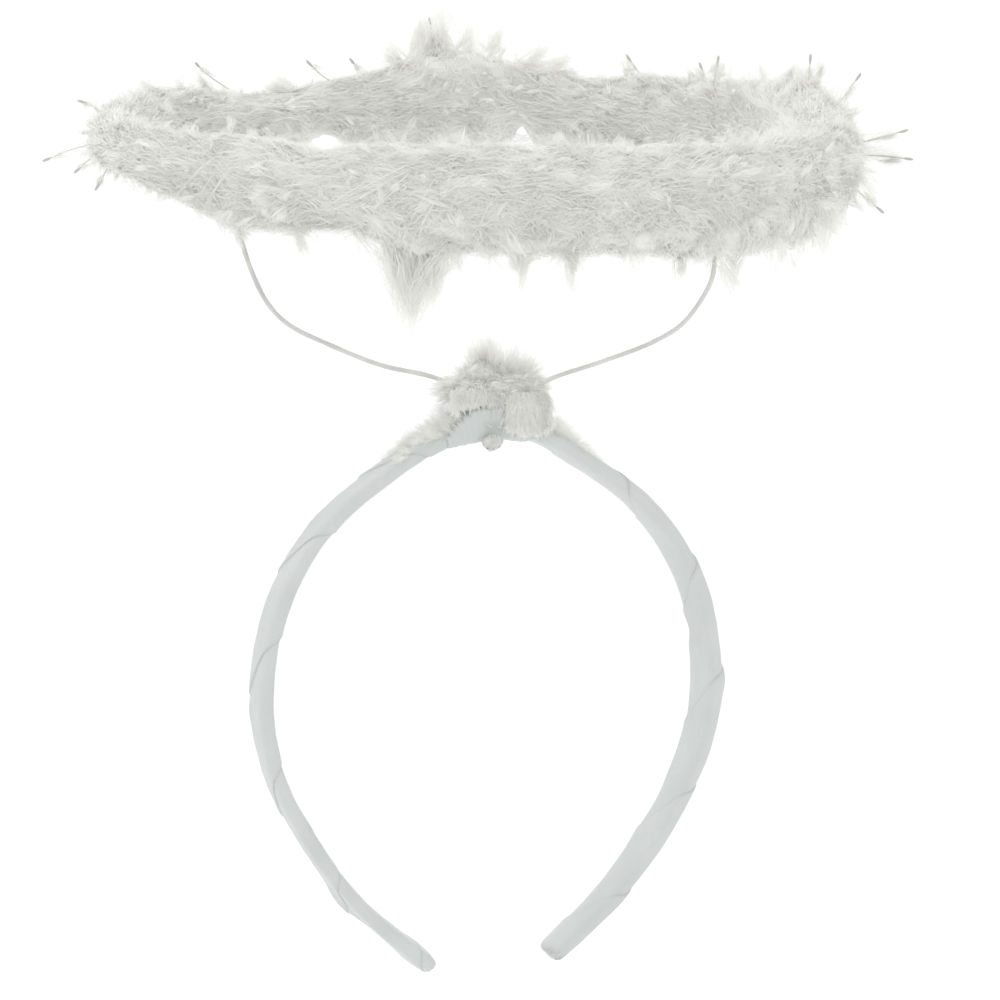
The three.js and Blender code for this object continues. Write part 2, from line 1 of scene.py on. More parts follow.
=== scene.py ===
import bpy
import numpy as np
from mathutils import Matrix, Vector


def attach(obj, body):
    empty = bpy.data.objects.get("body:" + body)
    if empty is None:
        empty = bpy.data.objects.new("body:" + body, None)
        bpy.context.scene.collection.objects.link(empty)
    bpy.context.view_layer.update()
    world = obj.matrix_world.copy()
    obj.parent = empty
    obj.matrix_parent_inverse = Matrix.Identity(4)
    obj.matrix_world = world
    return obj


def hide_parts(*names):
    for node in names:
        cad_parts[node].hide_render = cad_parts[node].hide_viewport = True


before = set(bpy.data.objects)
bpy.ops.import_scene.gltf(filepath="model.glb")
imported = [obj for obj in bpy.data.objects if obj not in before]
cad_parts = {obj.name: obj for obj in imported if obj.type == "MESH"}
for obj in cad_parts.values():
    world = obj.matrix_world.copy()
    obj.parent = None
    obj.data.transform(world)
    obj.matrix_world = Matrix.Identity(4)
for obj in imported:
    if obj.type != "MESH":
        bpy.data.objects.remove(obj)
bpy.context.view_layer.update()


# Headband: a springy strip of moulded plastic, wound from end to end with white satin ribbon. Each turn
# is drawn tight over the edge of the next, so the edges cross the band on a slant, with small nicks
# where the ribbon folds round the strip, and one turn near the left end has worked loose.

MM = 0.001
BAND_SPREAD = 133 * MM  # between the middles of the two limbs, at the widest
BAND_DROP = 152 * MM  # from the crown down to the ends of the limbs
BAND_WIDTH = 15 * MM
BAND_THICKNESS = 4 * MM
BAND_TOP = 3.5 * MM  # middle of the strip at the crown, above the head
LIMB_TOE = np.radians(3)  # how far a limb's outer face turns to the back
RIBBON_STEP = 0.4 * MM  # how far one turn stands on the next
RIBBON_SHOWN = 24 * MM  # what shows of the ribbon's width
CREASE_SHADE_BREADTH = 1.1 * MM  # breadth of the painted shade along the crease at the foot of each turn's edge
TIP_SHARE = 0.55  # what is left of the band's section at its very ends
TIP_ROUNDING = {"left": 5 * MM, "right": 2.6 * MM}
CAP_TRAVEL = 12 * MM  # how far past an end the winding closes

# Half of the band's middle line, as shares of half its spread and of its drop, with the width as a share
BAND_ROWS = [
    {"out": 0, "down": 0, "width": 1},
    {"out": 0.2, "down": 0.0155, "width": 1},
    {"out": 0.41, "down": 0.064, "width": 1},
    {"out": 0.725, "down": 0.169, "width": 1},
    {"out": 0.925, "down": 0.307, "width": 1},
    {"out": 1, "down": 0.479, "width": 1},
    {"out": 0.955, "down": 0.612, "width": 0.97},
    {"out": 0.8, "down": 0.751, "width": 0.92},
    {"out": 0.575, "down": 0.881, "width": 0.87},
    {"out": 0.27, "down": 1, "width": 0.8},
]

# Where each turn of ribbon begins at the band's front edge, along the band from the left end. The first
# and last few lie past the ends, where the winding closes.
RIBBON_EDGES = np.array([
    -62, -28, 6, 40, 76, 112, 145, 180, 215, 247, 279, 311, 346, 381, 416, 451, 486,
]) * MM

# Lifted places of the ribbon: distance along the band, share of the way round, length, girth share, lift
RIBBON_LIFTS = [
    {"along": 30 * MM, "round": 0.6, "length": 7 * MM, "girth": 0.09, "lift": 1.5 * MM},
    {"along": 92 * MM, "round": 0.56, "length": 4 * MM, "girth": 0.07, "lift": 0.5 * MM},
    {"along": 299 * MM, "round": 0.46, "length": 3 * MM, "girth": 0.06, "lift": -0.8 * MM},
    {"along": 313 * MM, "round": 0.97, "length": 4 * MM, "girth": 0.06, "lift": 0.7 * MM},
    {"along": 350 * MM, "round": 0.5, "length": 3 * MM, "girth": 0.07, "lift": -0.5 * MM},
    {"along": 52 * MM, "round": 0.0, "length": 3 * MM, "girth": 0.06, "lift": -0.6 * MM},
    {"along": 58 * MM, "round": 0.04, "length": 3 * MM, "girth": 0.05, "lift": 0.5 * MM},
    {"along": 6 * MM, "round": 0.5, "length": 7 * MM, "girth": 0.5, "lift": 0.9 * MM},
]


def smooth_line(rows, per_row=60):
    """A smooth line through rows of numbers that begin with a place, and how far along it each point lies."""
    rows = np.asarray(rows, float)
    padded = np.vstack([2 * rows[0] - rows[1], rows, 2 * rows[-1] - rows[-2]])
    gaps = np.sqrt(np.linalg.norm(np.diff(padded, axis=0), axis=1))
    t = np.linspace(0, 1, per_row, endpoint=False)[:, None]
    stretches = []
    for i in range(len(rows) - 1):
        before, here, there, after = padded[i:i + 4]
        a, b, c = gaps[i:i + 3]
        leave = ((here - before) / a - (there - before) / (a + b) + (there - here) / b) * b
        arrive = ((there - here) / b - (after - here) / (b + c) + (after - there) / c) * b
        stretches.append(
            (2 * t**3 - 3 * t**2 + 1) * here + (t**3 - 2 * t**2 + t) * leave
            + (3 * t**2 - 2 * t**3) * there + (t**3 - t**2) * arrive
        )
    line = np.vstack([*stretches, rows[-1:]])
    steps = np.linalg.norm(np.diff(line[:, :3], axis=0), axis=1)
    return line, np.concatenate([[0], np.cumsum(steps)])


def read_along(run, line, distance):
    """The line's numbers at distances along it."""
    return np.stack([np.interp(distance, run, column) for column in line.T], axis=-1)


def unit(vectors):
    return vectors / np.maximum(np.linalg.norm(vectors, axis=-1, keepdims=True), 1e-12)


def ripples(chance, points, size, layers=8):
    """Low smooth bumps between about -1 and 1, about size across, the same in each run."""
    ways = unit(chance.normal(size=(layers, 3)))
    waves = 2 * np.pi / (size * chance.uniform(0.7, 1.7, layers))
    phases = chance.uniform(0, 2 * np.pi, layers)
    return np.sin((points @ ways.T) * waves + phases).sum(axis=-1) / np.sqrt(layers)


def outward(points, faces):
    """The faces of a closed surface, turned so that they look out."""
    a, b, c = (points[faces[:, k]] for k in (0, 1, 2))
    volume = np.einsum("ij,ij->i", a, np.cross(b, c)).sum()
    if faces.shape[1] == 4:
        d = points[faces[:, 3]]
        volume += np.einsum("ij,ij->i", a, np.cross(c, d)).sum()
    return faces if volume > 0 else faces[:, ::-1]


def add_piece(name, points, faces, material, nodes=(), pattern=None):
    """A named piece from points and faces, which rides on the part and takes the place of its CAD nodes."""
    mesh = bpy.data.meshes.new(name)
    mesh.vertices.add(len(points))
    mesh.vertices.foreach_set("co", points.astype(np.float32).ravel())
    mesh.loops.add(faces.size)
    mesh.loops.foreach_set("vertex_index", faces.astype(np.int32).ravel())
    mesh.polygons.add(len(faces))
    mesh.polygons.foreach_set("loop_start", np.arange(0, faces.size, faces.shape[1], dtype=np.int32))
    mesh.polygons.foreach_set("use_smooth", np.ones(len(faces), bool))
    if pattern is not None:
        layer = mesh.uv_layers.new(name="pattern")
        layer.data.foreach_set("uv", pattern[faces.ravel()].astype(np.float32).ravel())
    mesh.update(calc_edges=True)
    mesh.materials.append(material)
    piece = bpy.data.objects.new(name, mesh)
    bpy.context.scene.collection.objects.link(piece)
    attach(piece, "root")
    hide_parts(*nodes)


def linear(colour):
    """An sRGB hex colour as the linear colour that a shader takes."""
    shares = np.array([int(colour[i:i + 2], 16) for i in (1, 3, 5)]) / 255
    straight = np.where(shares <= 0.04045, shares / 12.92, ((shares + 0.055) / 1.055) ** 2.4)
    return (*straight.tolist(), 1.0)


def add_node(material, kind, inputs=None, **settings):
    """Adds a shader node with its settings. An input that is given a socket is linked to it."""
    tree = material.node_tree
    made = tree.nodes.new("ShaderNode" + kind)
    for name, value in settings.items():
        setattr(made, name, value)
    for name, value in (inputs or {}).items():
        if isinstance(value, bpy.types.NodeSocket):
            tree.links.new(value, made.inputs[name])
        else:
            made.inputs[name].default_value = value
    return made


def new_material(name):
    """An empty material with its output, and the output's surface socket."""
    material = bpy.data.materials.new(name)
    material.use_nodes = True
    material.node_tree.nodes.clear()
    output = add_node(material, "OutputMaterial")
    return material, output.inputs["Surface"]


def add_noise(material, place, size, detail):
    """Soft noise, about size across."""
    return add_node(material, "TexNoise", {"Vector": place, "Scale": 1 / size, "Detail": detail})


def add_tones(material, texture, low, dark, high, light):
    """Two colours, each at its own level of a texture, which blend between them."""
    tone = add_node(material, "ValToRGB", {"Fac": texture.outputs["Fac"]})
    for element, level, colour in zip(tone.color_ramp.elements, (low, high), (dark, light)):
        element.position = level
        element.color = linear(colour)
    return tone.outputs["Color"]


def add_relief(material, texture, distance, strength, over=None):
    """Relief from a texture, on top of another relief where one is given."""
    inputs = {"Height": texture.outputs["Fac"], "Distance": distance, "Strength": strength}
    if over is not None:
        inputs["Normal"] = over
    return add_node(material, "Bump", inputs).outputs["Normal"]


def make_satin_ribbon(name, light, dark, rib_width):
    """Single-faced polyester satin, woven with long floats: a smooth soft gloss that streaks across the
    floats, a fine rib, faint cloudy greys at random, and painted shade in a line along the crease at the foot
    of each turn's edge."""
    material, surface = new_material(name)
    pattern = add_node(material, "UVMap", uv_map="pattern").outputs["UV"]
    place = add_node(material, "TexCoord").outputs["Object"]
    across = add_node(material, "SeparateXYZ", {"Vector": pattern}).outputs["X"]
    # Woven ribs are about 0.15 mm apart. They are drawn at rib_width, so that the picture can hold them.
    ribs = add_node(material, "TexWave", {
        "Vector": pattern, "Scale": 2 * np.pi / 20 / rib_width, "Distortion": 1.5, "Detail": 2.0,
        "Detail Scale": 0.6, "Detail Roughness": 0.6,
    }, bands_direction="X")
    clouds = add_noise(material, place, 14 * MM, 5.0)
    creases = add_noise(material, place, 3.5 * MM, 3.0)
    tone = add_tones(material, clouds, 0.34, dark, 0.62, light)
    # Painted shade: the colour is darkened to 0.93 in a line along the crease at the foot of each turn's
    # edge.
    crease_shade = add_node(material, "MapRange", {
        "Value": across, "From Min": 0.0, "From Max": CREASE_SHADE_BREADTH, "To Min": 0.93,
    })
    # The sockets of a colour mix go by number: 0 is the factor, 6 and 7 the two colours, 2 the result.
    crease_shaded = add_node(material, "Mix", {
        0: 1.0, 6: tone, 7: crease_shade.outputs["Result"],
    }, data_type="RGBA", blend_type="MULTIPLY")
    gloss = add_node(material, "MapRange", {
        "Value": creases.outputs["Fac"], "From Min": 0.3, "From Max": 0.7, "To Min": 0.36, "To Max": 0.52,
    })
    weave = add_relief(material, ribs, 0.06 * MM, 0.35)
    folds = add_relief(material, creases, 0.5 * MM, 0.3, over=weave)
    shader = add_node(material, "BsdfPrincipled", {
        "Base Color": crease_shaded.outputs[2], "Roughness": gloss.outputs["Result"], "IOR": 1.5,
        "Anisotropic": 0.5, "Sheen Weight": 0.15, "Sheen Roughness": 0.4, "Normal": folds,
    })
    material.node_tree.links.new(shader.outputs["BSDF"], surface)
    return material


def band_at(distance):
    """The band's place, directions and width at distances along it."""
    row = read_along(band_run, band_line, distance)
    along = unit(read_along(band_run, band_way, distance))
    outer = unit(np.stack([-along[..., 2], np.zeros_like(distance), along[..., 0]], axis=-1))
    toe = (LIMB_TOE * np.clip(np.abs(row[..., 0]) / (BAND_SPREAD / 2), 0, 1))[..., None]
    backward = np.array([0.0, 1.0, 0.0])
    facing = outer * np.cos(toe) + backward * np.sin(toe)
    back = backward * np.cos(toe) - outer * np.sin(toe)
    return {"place": row[..., :3], "along": along, "facing": facing, "back": back, "width": row[..., 3]}


def band_section():
    """The band's section from its front edge over the inner face: share of the girth, and how far back and
    out each point lies as shares of half the width and half the thickness."""
    angle = np.linspace(0, 2 * np.pi, 721)
    back = -np.sign(np.cos(angle)) * np.abs(np.cos(angle)) ** 0.35
    out = -np.sign(np.sin(angle)) * np.abs(np.sin(angle)) ** 0.7
    girth = np.hypot(np.diff(back) * BAND_WIDTH, np.diff(out) * BAND_THICKNESS)
    share = np.concatenate([[0], np.cumsum(girth)]) / girth.sum()
    return share, back, out


chance = np.random.default_rng(3)
half_rows = [
    (row["out"] * BAND_SPREAD / 2, 0, BAND_TOP - row["down"] * BAND_DROP, row["width"] * BAND_WIDTH)
    for row in BAND_ROWS
]
band_line, band_run = smooth_line([(-x, y, z, w) for x, y, z, w in half_rows[:0:-1]] + half_rows)
band_way = np.gradient(band_line[:, :3], band_run, axis=0)
band_length = band_run[-1]

# The winding is one long strip of faces that runs round the band with the ribbon. Its rows are spaced
# closely at each edge, which stands up from the turn below.
rows_in_turn = np.concatenate([[0, 0.003, 0.006, 0.01, 0.016, 0.03], np.linspace(0.055, 0.98, 20)])
round_steps = 56
turn_starts = np.arange(len(RIBBON_EDGES) - 2)
turn = np.repeat(turn_starts, len(rows_in_turn))[:, None]
within = np.tile(rows_in_turn, len(turn_starts))[:, None]
girth_share = (np.arange(round_steps) / round_steps)[None, :]
edge_before = np.interp(turn + girth_share, np.arange(len(RIBBON_EDGES)), RIBBON_EDGES)
edge_after = np.interp(turn + 1 + girth_share, np.arange(len(RIBBON_EDGES)), RIBBON_EDGES)
distance = edge_before + (edge_after - edge_before) * within
on_band = np.clip(distance, 0, band_length)
section_share, section_back, section_out = band_section()
across = np.interp(girth_share, section_share, section_back) + 0 * distance
outwards = np.interp(girth_share, section_share, section_out) + 0 * distance
rounding = np.where(distance < band_length / 2, TIP_ROUNDING["left"], TIP_ROUNDING["right"])
from_end = np.clip(np.minimum(on_band, band_length - on_band) / rounding, 0, 1)
past_end = np.clip(np.abs(distance - on_band) / CAP_TRAVEL, 0, 1)
section_size = (TIP_SHARE + (1 - TIP_SHARE) * np.sqrt(1 - (1 - from_end) ** 2)) * (1 - past_end)
band = band_at(on_band)
flat_place = (
    band["place"]
    + band["back"] * (across * band["width"] / 2)[..., None]
    + band["facing"] * (outwards * BAND_THICKNESS / 2)[..., None]
)
step = RIBBON_STEP * np.clip(within / 0.01, 0, 1) ** 0.5 * (1 - within)
lift = 0.07 * MM * ripples(chance, flat_place, 9 * MM) + 0.03 * MM * ripples(chance, flat_place, 2.5 * MM)
for row in RIBBON_LIFTS:
    beside = np.abs(girth_share - row["round"])
    beside = np.minimum(beside, 1 - beside) / row["girth"]
    lift = lift + row["lift"] * np.exp(-((distance - row["along"]) / row["length"]) ** 2 - beside**2)
lift = step + lift * (1 - past_end)
half_width = band["width"] / 2 * section_size + lift
half_thickness = BAND_THICKNESS / 2 * section_size + lift
winding = (
    band["place"]
    + band["back"] * (across * half_width)[..., None]
    + band["facing"] * (outwards * half_thickness)[..., None]
)
rows = len(turn)
row_index, side_index = np.meshgrid(
    np.arange(rows - len(rows_in_turn) - 1), np.arange(round_steps), indexing="ij",
)
next_side = (side_index + 1) % round_steps
next_shift = np.where(side_index == round_steps - 1, len(rows_in_turn), 0)
winding_faces = np.stack([
    row_index * round_steps + side_index,
    (row_index + next_shift) * round_steps + next_side,
    (row_index + 1 + next_shift) * round_steps + next_side,
    (row_index + 1) * round_steps + side_index,
], axis=-1).reshape(-1, 4)
girth = 2 * (BAND_WIDTH + BAND_THICKNESS)
winding_pattern = np.stack([within * RIBBON_SHOWN + 0 * distance, (turn + girth_share) * girth], axis=-1)
satin_ribbon = make_satin_ribbon("satin_ribbon", light="#cacecc", dark="#c4c8c6", rib_width=0.7 * MM)
points = winding.reshape(-1, 3)
add_piece(
    "headband_winding", points, outward(points, winding_faces), satin_ribbon,
    nodes=["headband"], pattern=winding_pattern.reshape(-1, 2),
)


# Crown binding: a length of the same ribbon, wound tight round the band and the wire's foot. It is
# gathered to half its width, so folds run round each turn, and the turns lean on each other.

BINDING_TURN = 5 * MM  # what shows of each turn
BINDING_RIBBON = 6.9 * MM  # gathered width
BINDING_INNER = 8.2 * MM  # from the middle to the ribbon, in front of the band and behind it
BINDING_SIDE = 1.6 * MM
BINDING_CHAMFER = 0.9 * MM
BINDING_HEIGHT = 12 * MM
BINDING_SLOPE = 0.9 * MM  # how much lower each turn is than the one nearer the middle
BINDING_DEPTH = 0.9 * MM  # of a gathered turn
BINDING_GAP = 0.3 * MM  # between the band and the ribbon under it
BINDING_UNDER = 0.85 * MM  # of ribbon under the band
BINDING_SHOULDER = 0.84  # share of its height at which its front and back begin to lean in
FOLD_ROOM = 0.35 * MM  # how far a turn's path lies inside the size above, for its folds

# The turns: place in turns from the band's middle, how far it stands out, and its height as a share. They
# step down to the band on both sides, and furthest on the left.
BINDING_ROWS = [
    {"place": -2.45, "out": -0.8 * MM, "height": 0.3},
    {"place": -2.2, "out": -0.55 * MM, "height": 0.44},
    {"place": -1.95, "out": -0.35 * MM, "height": 0.58},
    {"place": -1.7, "out": -0.2 * MM, "height": 0.72},
    {"place": -1.4, "out": 0.0, "height": 0.86},
    {"place": -1, "out": 0.2 * MM, "height": 1},
    {"place": 1, "out": 0.2 * MM, "height": 1},
    {"place": 1.2, "out": -0.05 * MM, "height": 0.8},
    {"place": 1.35, "out": -0.35 * MM, "height": 0.5},
    {"place": 0, "out": 0.0, "height": 1},
]


def closed_outline(corners, steps):
    """Even points round a closed outline, and how far round each lies."""
    corners = np.vstack([corners, corners[:1]])
    run = np.concatenate([[0], np.cumsum(np.linalg.norm(np.diff(corners, axis=0), axis=1))])
    at = np.linspace(0, run[-1], steps, endpoint=False)
    return read_along(run, corners, at), at


def binding_outline(row, steps):
    """One turn's path round the band, from the middle of its underside: how far back and how far out."""
    half = BINDING_INNER + BINDING_SIDE + row["out"] - FOLD_ROOM
    under = -BAND_THICKNESS / 2 - BINDING_GAP - BINDING_UNDER * row["height"]
    roof = (BINDING_HEIGHT - BAND_TOP - BINDING_SLOPE * abs(row["place"])) * row["height"] - FOLD_ROOM
    shoulder = roof * BINDING_SHOULDER
    t = np.linspace(0, 1, 12)[:, None]
    rise = [np.array(p) for p in ((half, shoulder), (half * 0.99, roof), (0, roof))]
    arch = (1 - t) ** 2 * rise[0] + 2 * t * (1 - t) * rise[1] + t**2 * rise[2]
    right_side = np.vstack([
        [(0, under), (half - BINDING_CHAMFER, under), (half, under + BINDING_CHAMFER)], arch,
    ])
    left_side = right_side[-2:0:-1] * [-1, 1]
    return closed_outline(np.vstack([right_side, left_side]), steps)


def ribbon_turn(chance, row, steps=84, strands=13):
    """One gathered turn as a closed loop: rounded folds on its outer side, and a plain inner side."""
    outline, run = binding_outline(row, steps)
    for _ in range(3):
        outline = (np.roll(outline, 1, 0) + 2 * outline + np.roll(outline, -1, 0)) / 4
    way = unit(np.roll(outline, -1, 0) - np.roll(outline, 1, 0))
    normal = np.stack([way[:, 1], -way[:, 0]], axis=-1)
    crown_run = band_run[crown_part]
    at = band_at(np.interp(row["place"] * BINDING_TURN, band_line[crown_part, 0], crown_run))
    v = np.linspace(-1, 1, strands)
    angle = 2 * np.pi * np.arange(steps)[:, None] / steps
    wander = 0.5 * np.sin(angle + chance.uniform(0, 6)) + 0.3 * np.sin(3 * angle + chance.uniform(0, 6))
    folds = 0.13 * MM * np.cos(np.pi * (3.1 * v + wander) + chance.uniform(0, 6))
    folds = folds * (0.7 + 0.3 * np.sin(2 * angle + chance.uniform(0, 6)))
    height = folds - 0.75 * BINDING_DEPTH * np.abs(v) ** 5
    height = np.concatenate([height, np.full((steps, 2), -2 * BINDING_DEPTH)], axis=1)
    side = np.concatenate([v, [0.7, -0.7]]) * BINDING_RIBBON / 2
    flat = outline[:, None, :] + normal[:, None, :] * height[..., None]
    points = (
        at["place"]
        + at["back"] * flat[..., :1]
        + at["facing"] * flat[..., 1:]
        + at["along"] * (side + 0.25 * MM * np.sin(angle + row["place"]))[..., None]
    )
    # The pattern across starts 1.2 mm in from the ribbon's edge, so the painted crease shade never falls on
    # the binding.
    pattern = np.stack([side + BINDING_RIBBON / 2 + 1.2 * MM + 0 * angle, run[:, None] + 0 * side], axis=-1)
    return points, pattern


def ring_faces(rings, sides, closed=True):
    """Faces between closed rings of points. In a closed loop, the last ring joins the first."""
    ring, side = np.meshgrid(np.arange(rings if closed else rings - 1), np.arange(sides), indexing="ij")
    here, there = ring * sides, (ring + 1) % rings * sides
    next_side = (side + 1) % sides
    return np.stack([here + side, here + next_side, there + next_side, there + side], axis=-1).reshape(-1, 4)


def join_parts(parts):
    """One set of points, faces and patterns from several (points, faces) or (points, faces, pattern)."""
    starts = np.cumsum([0] + [len(part[0]) for part in parts[:-1]])
    points = np.vstack([part[0] for part in parts])
    faces = np.vstack([part[1] + start for part, start in zip(parts, starts)])
    pattern = np.vstack([part[2] for part in parts]) if len(parts[0]) > 2 else None
    return points, faces, pattern


def add_joined(name, parts, material, nodes=()):
    """A named piece from several (points, faces) or (points, faces, pattern)."""
    points, faces, pattern = join_parts(parts)
    add_piece(name, points, faces, material, nodes, pattern)


crown_part = np.abs(band_run - band_length / 2) < 60 * MM
turns = []
for row in BINDING_ROWS:
    turn_points, turn_pattern = ribbon_turn(chance, row)
    faces = ring_faces(*turn_points.shape[:2])
    turn_points = turn_points.reshape(-1, 3)
    turns.append((turn_points, outward(turn_points, faces), turn_pattern.reshape(-1, 2)))
add_joined("crown_binding_turns", turns, satin_ribbon, nodes=["crown_binding"])


# Knot and stitches: the white sewing thread that closes the binding. It is wound into a small ball with
# two cut ends at the front lower edge, and three slack stitches show on the ribbon above it.

THREAD = 0.45 * MM  # drawn as two threads together
KNOT_SIZE = np.array([2.9, 1.25, 2.2]) * MM
KNOT_PLACE = np.array([-3.2, -11.6, 0.2]) * MM
KNOT_TAPER = 0.3  # how much narrower its foot is than its middle
KNOT_ENDS = [
    [(-0.9, -0.3, -1.4), (-1.3, -0.9, -1.9), (-1.2, -1.1, -2.5)],
    [(0.7, -0.4, -1.2), (1.4, -0.9, -1.4), (2.1, -0.8, -1.2)],
]
STITCHES = [
    [(-4.6, -10.4, 5.6), (-3.7, -10.75, 4.6), (-2.6, -10.4, 4.3)],
    [(-1.8, -10.4, 5.0), (-0.9, -10.75, 4.2), (0.2, -10.4, 4.0)],
    [(0.6, -10.4, 4.9), (1.3, -10.7, 4.5), (2.0, -10.4, 4.5)],
]


def tube(line, radius, sides=8):
    """A round tube along a line of points, closed at both ends, with one radius or one for each point."""
    line = np.asarray(line, float)
    way = unit(np.gradient(line, axis=0))
    side = np.cross(way[0], [0.31, 0.52, 0.79])
    angle = 2 * np.pi * np.arange(sides) / sides
    radii = np.broadcast_to(radius, len(line))
    rings = []
    for place, onward, size in zip(line, way, radii):
        side = unit(side - onward * (side @ onward))
        third = np.cross(onward, side)
        rings.append(place + size * (np.cos(angle)[:, None] * side + np.sin(angle)[:, None] * third))
    rings = [np.repeat(line[:1], sides, axis=0), *rings, np.repeat(line[-1:], sides, axis=0)]
    points = np.vstack(rings)
    return points, outward(points, ring_faces(len(rings), sides, closed=False))


def make_sewing_thread():
    """Spun polyester thread: dull, a little greyer than the satin, with the fine slant of its two plies."""
    material, surface = new_material("sewing_thread")
    place = add_node(material, "TexCoord").outputs["Object"]
    plies = add_node(material, "TexWave", {
        "Vector": place, "Scale": 2 * np.pi / 20 / (0.35 * MM), "Distortion": 2.0,
    }, bands_direction="DIAGONAL")
    soil = add_noise(material, place, 1.5 * MM, 4.0)
    tone = add_tones(material, soil, 0.3, "#c6c7c4", 0.65, "#d6d7d4")
    twist = add_relief(material, plies, 0.08 * MM, 0.6)
    shader = add_node(material, "BsdfPrincipled", {
        "Base Color": tone, "Roughness": 0.75, "IOR": 1.5, "Normal": twist,
    })
    material.node_tree.links.new(shader.outputs["BSDF"], surface)
    return material


def knot_shape(points):
    """Unit points as places on the knot, which is flat from front to back and narrows to its foot."""
    narrow = 1 + KNOT_TAPER * np.minimum(points[..., 2:], 0)
    shares = np.concatenate([narrow, narrow, np.ones_like(narrow)], axis=-1)
    return KNOT_PLACE + points * shares * KNOT_SIZE


def wound_ball(laps=17, swings=2.5, steps=520):
    """A thread's path as it is wound round and round a small ball, to one side and back."""
    t = np.linspace(0, 1, steps)
    side = 0.94 * np.sin(2 * np.pi * swings * t)
    size = np.sqrt(1 - side**2)
    angle = 2 * np.pi * laps * t
    slant = 0.16 * size * np.sin(angle)
    return knot_shape(np.stack([side + slant, size * np.cos(angle), size * np.sin(angle)], axis=-1))


def egg(middle, half, steps=64, sides=32):
    """A closed egg of points, and its faces."""
    turn = 2 * np.pi * np.arange(steps)[:, None] / steps
    rise = np.linspace(-np.pi / 2, np.pi / 2, sides)[None, :]
    points = np.stack([
        np.cos(turn) * np.cos(rise), np.sin(turn) * np.cos(rise), np.sin(rise) + 0 * turn,
    ], axis=-1)
    ring, k = np.meshgrid(np.arange(steps), np.arange(sides - 1), indexing="ij")
    faces = np.stack([
        ring * sides + k, (ring + 1) % steps * sides + k,
        (ring + 1) % steps * sides + k + 1, ring * sides + k + 1,
    ], axis=-1).reshape(-1, 4)
    points = middle + points.reshape(-1, 3) * half
    return points, outward(points, faces)


sewing_thread = make_sewing_thread()
ball, ball_faces = egg(0.0, 0.97, steps=24, sides=13)
thread_parts = [tube(wound_ball(), THREAD / 2, sides=6), (knot_shape(ball), ball_faces)]
for end in KNOT_ENDS:
    end_line, _ = smooth_line(np.array(end) * MM + KNOT_PLACE, per_row=8)
    thread_parts.append(tube(end_line, THREAD / 2 * np.linspace(1, 0.6, len(end_line)), sides=6))
add_joined("binding_knot_thread", thread_parts, sewing_thread, nodes=["binding_knot"])
stitch_parts = []
for stitch in STITCHES:
    stitch_line, _ = smooth_line(np.array(stitch) * MM, per_row=8)
    stitch_parts.append(tube(stitch_line, THREAD / 2, sides=6))
add_joined("binding_stitches", stitch_parts, sewing_thread)


# Halo wire: one length of springy steel wire in a thin white coat, bent by hand. It rises from its foot
# in the binding to both sides of the halo, where its ends go into the fluff.

HALO_TURN = np.radians(-20)  # the halo and its wire are twisted against the band
WIRE_DIAMETER = 1.3 * MM
WIRE_FOOT_HEIGHT = 8.6 * MM
WIRE_HALF_SPREAD = 67 * MM
HALO_RADIUS = 106 * MM  # of the line through the middle of the fluff
HALO_HEIGHT = 82.5 * MM
HALO_SHIFT = -6 * MM
HALO_TILT = np.radians(7.25)  # back of the ring up
HALO_ROLL = np.radians(-1.5)  # right side of the ring down

# The wire's two arms, as shares of the way out to the fluff and of the way up to it
LEFT_ARM_ROWS = [
    {"out": 0.085, "up": 0.03}, {"out": 0.189, "up": 0.124}, {"out": 0.419, "up": 0.189},
    {"out": 0.611, "up": 0.275}, {"out": 0.764, "up": 0.36}, {"out": 0.841, "up": 0.446},
    {"out": 0.9, "up": 0.575}, {"out": 0.95, "up": 0.75}, {"out": 1, "up": 1},
]
RIGHT_ARM_ROWS = [
    {"out": 0.1, "up": 0.03}, {"out": 0.269, "up": 0.131}, {"out": 0.508, "up": 0.212},
    {"out": 0.738, "up": 0.298}, {"out": 0.875, "up": 0.379}, {"out": 0.967, "up": 0.493},
    {"out": 1.02, "up": 0.606}, {"out": 1.02, "up": 0.8}, {"out": 1, "up": 1},
]

halo_back = np.sqrt(HALO_RADIUS**2 - WIRE_HALF_SPREAD**2)


def ring_at(turn):
    """Places on the halo's middle line, and its outward and onward directions there."""
    angle = 2 * np.pi * np.asarray(turn, float)
    level = np.zeros_like(angle)
    outward_way = np.stack([np.cos(angle), np.sin(angle), level], axis=-1)
    onward_way = np.stack([-np.sin(angle), np.cos(angle), level], axis=-1)
    place = outward_way * HALO_RADIUS
    place[..., 2] = place[..., 1] * np.tan(HALO_TILT) + place[..., 0] * np.tan(HALO_ROLL)
    return place + [HALO_SHIFT, halo_back, HALO_HEIGHT], outward_way, onward_way


def in_band_frame(points):
    """Turns points of the halo's own frame about the upright into the band's frame."""
    c, s = np.cos(HALO_TURN), np.sin(HALO_TURN)
    return points @ np.array([[c, s, 0], [-s, c, 0], [0, 0, 1]])


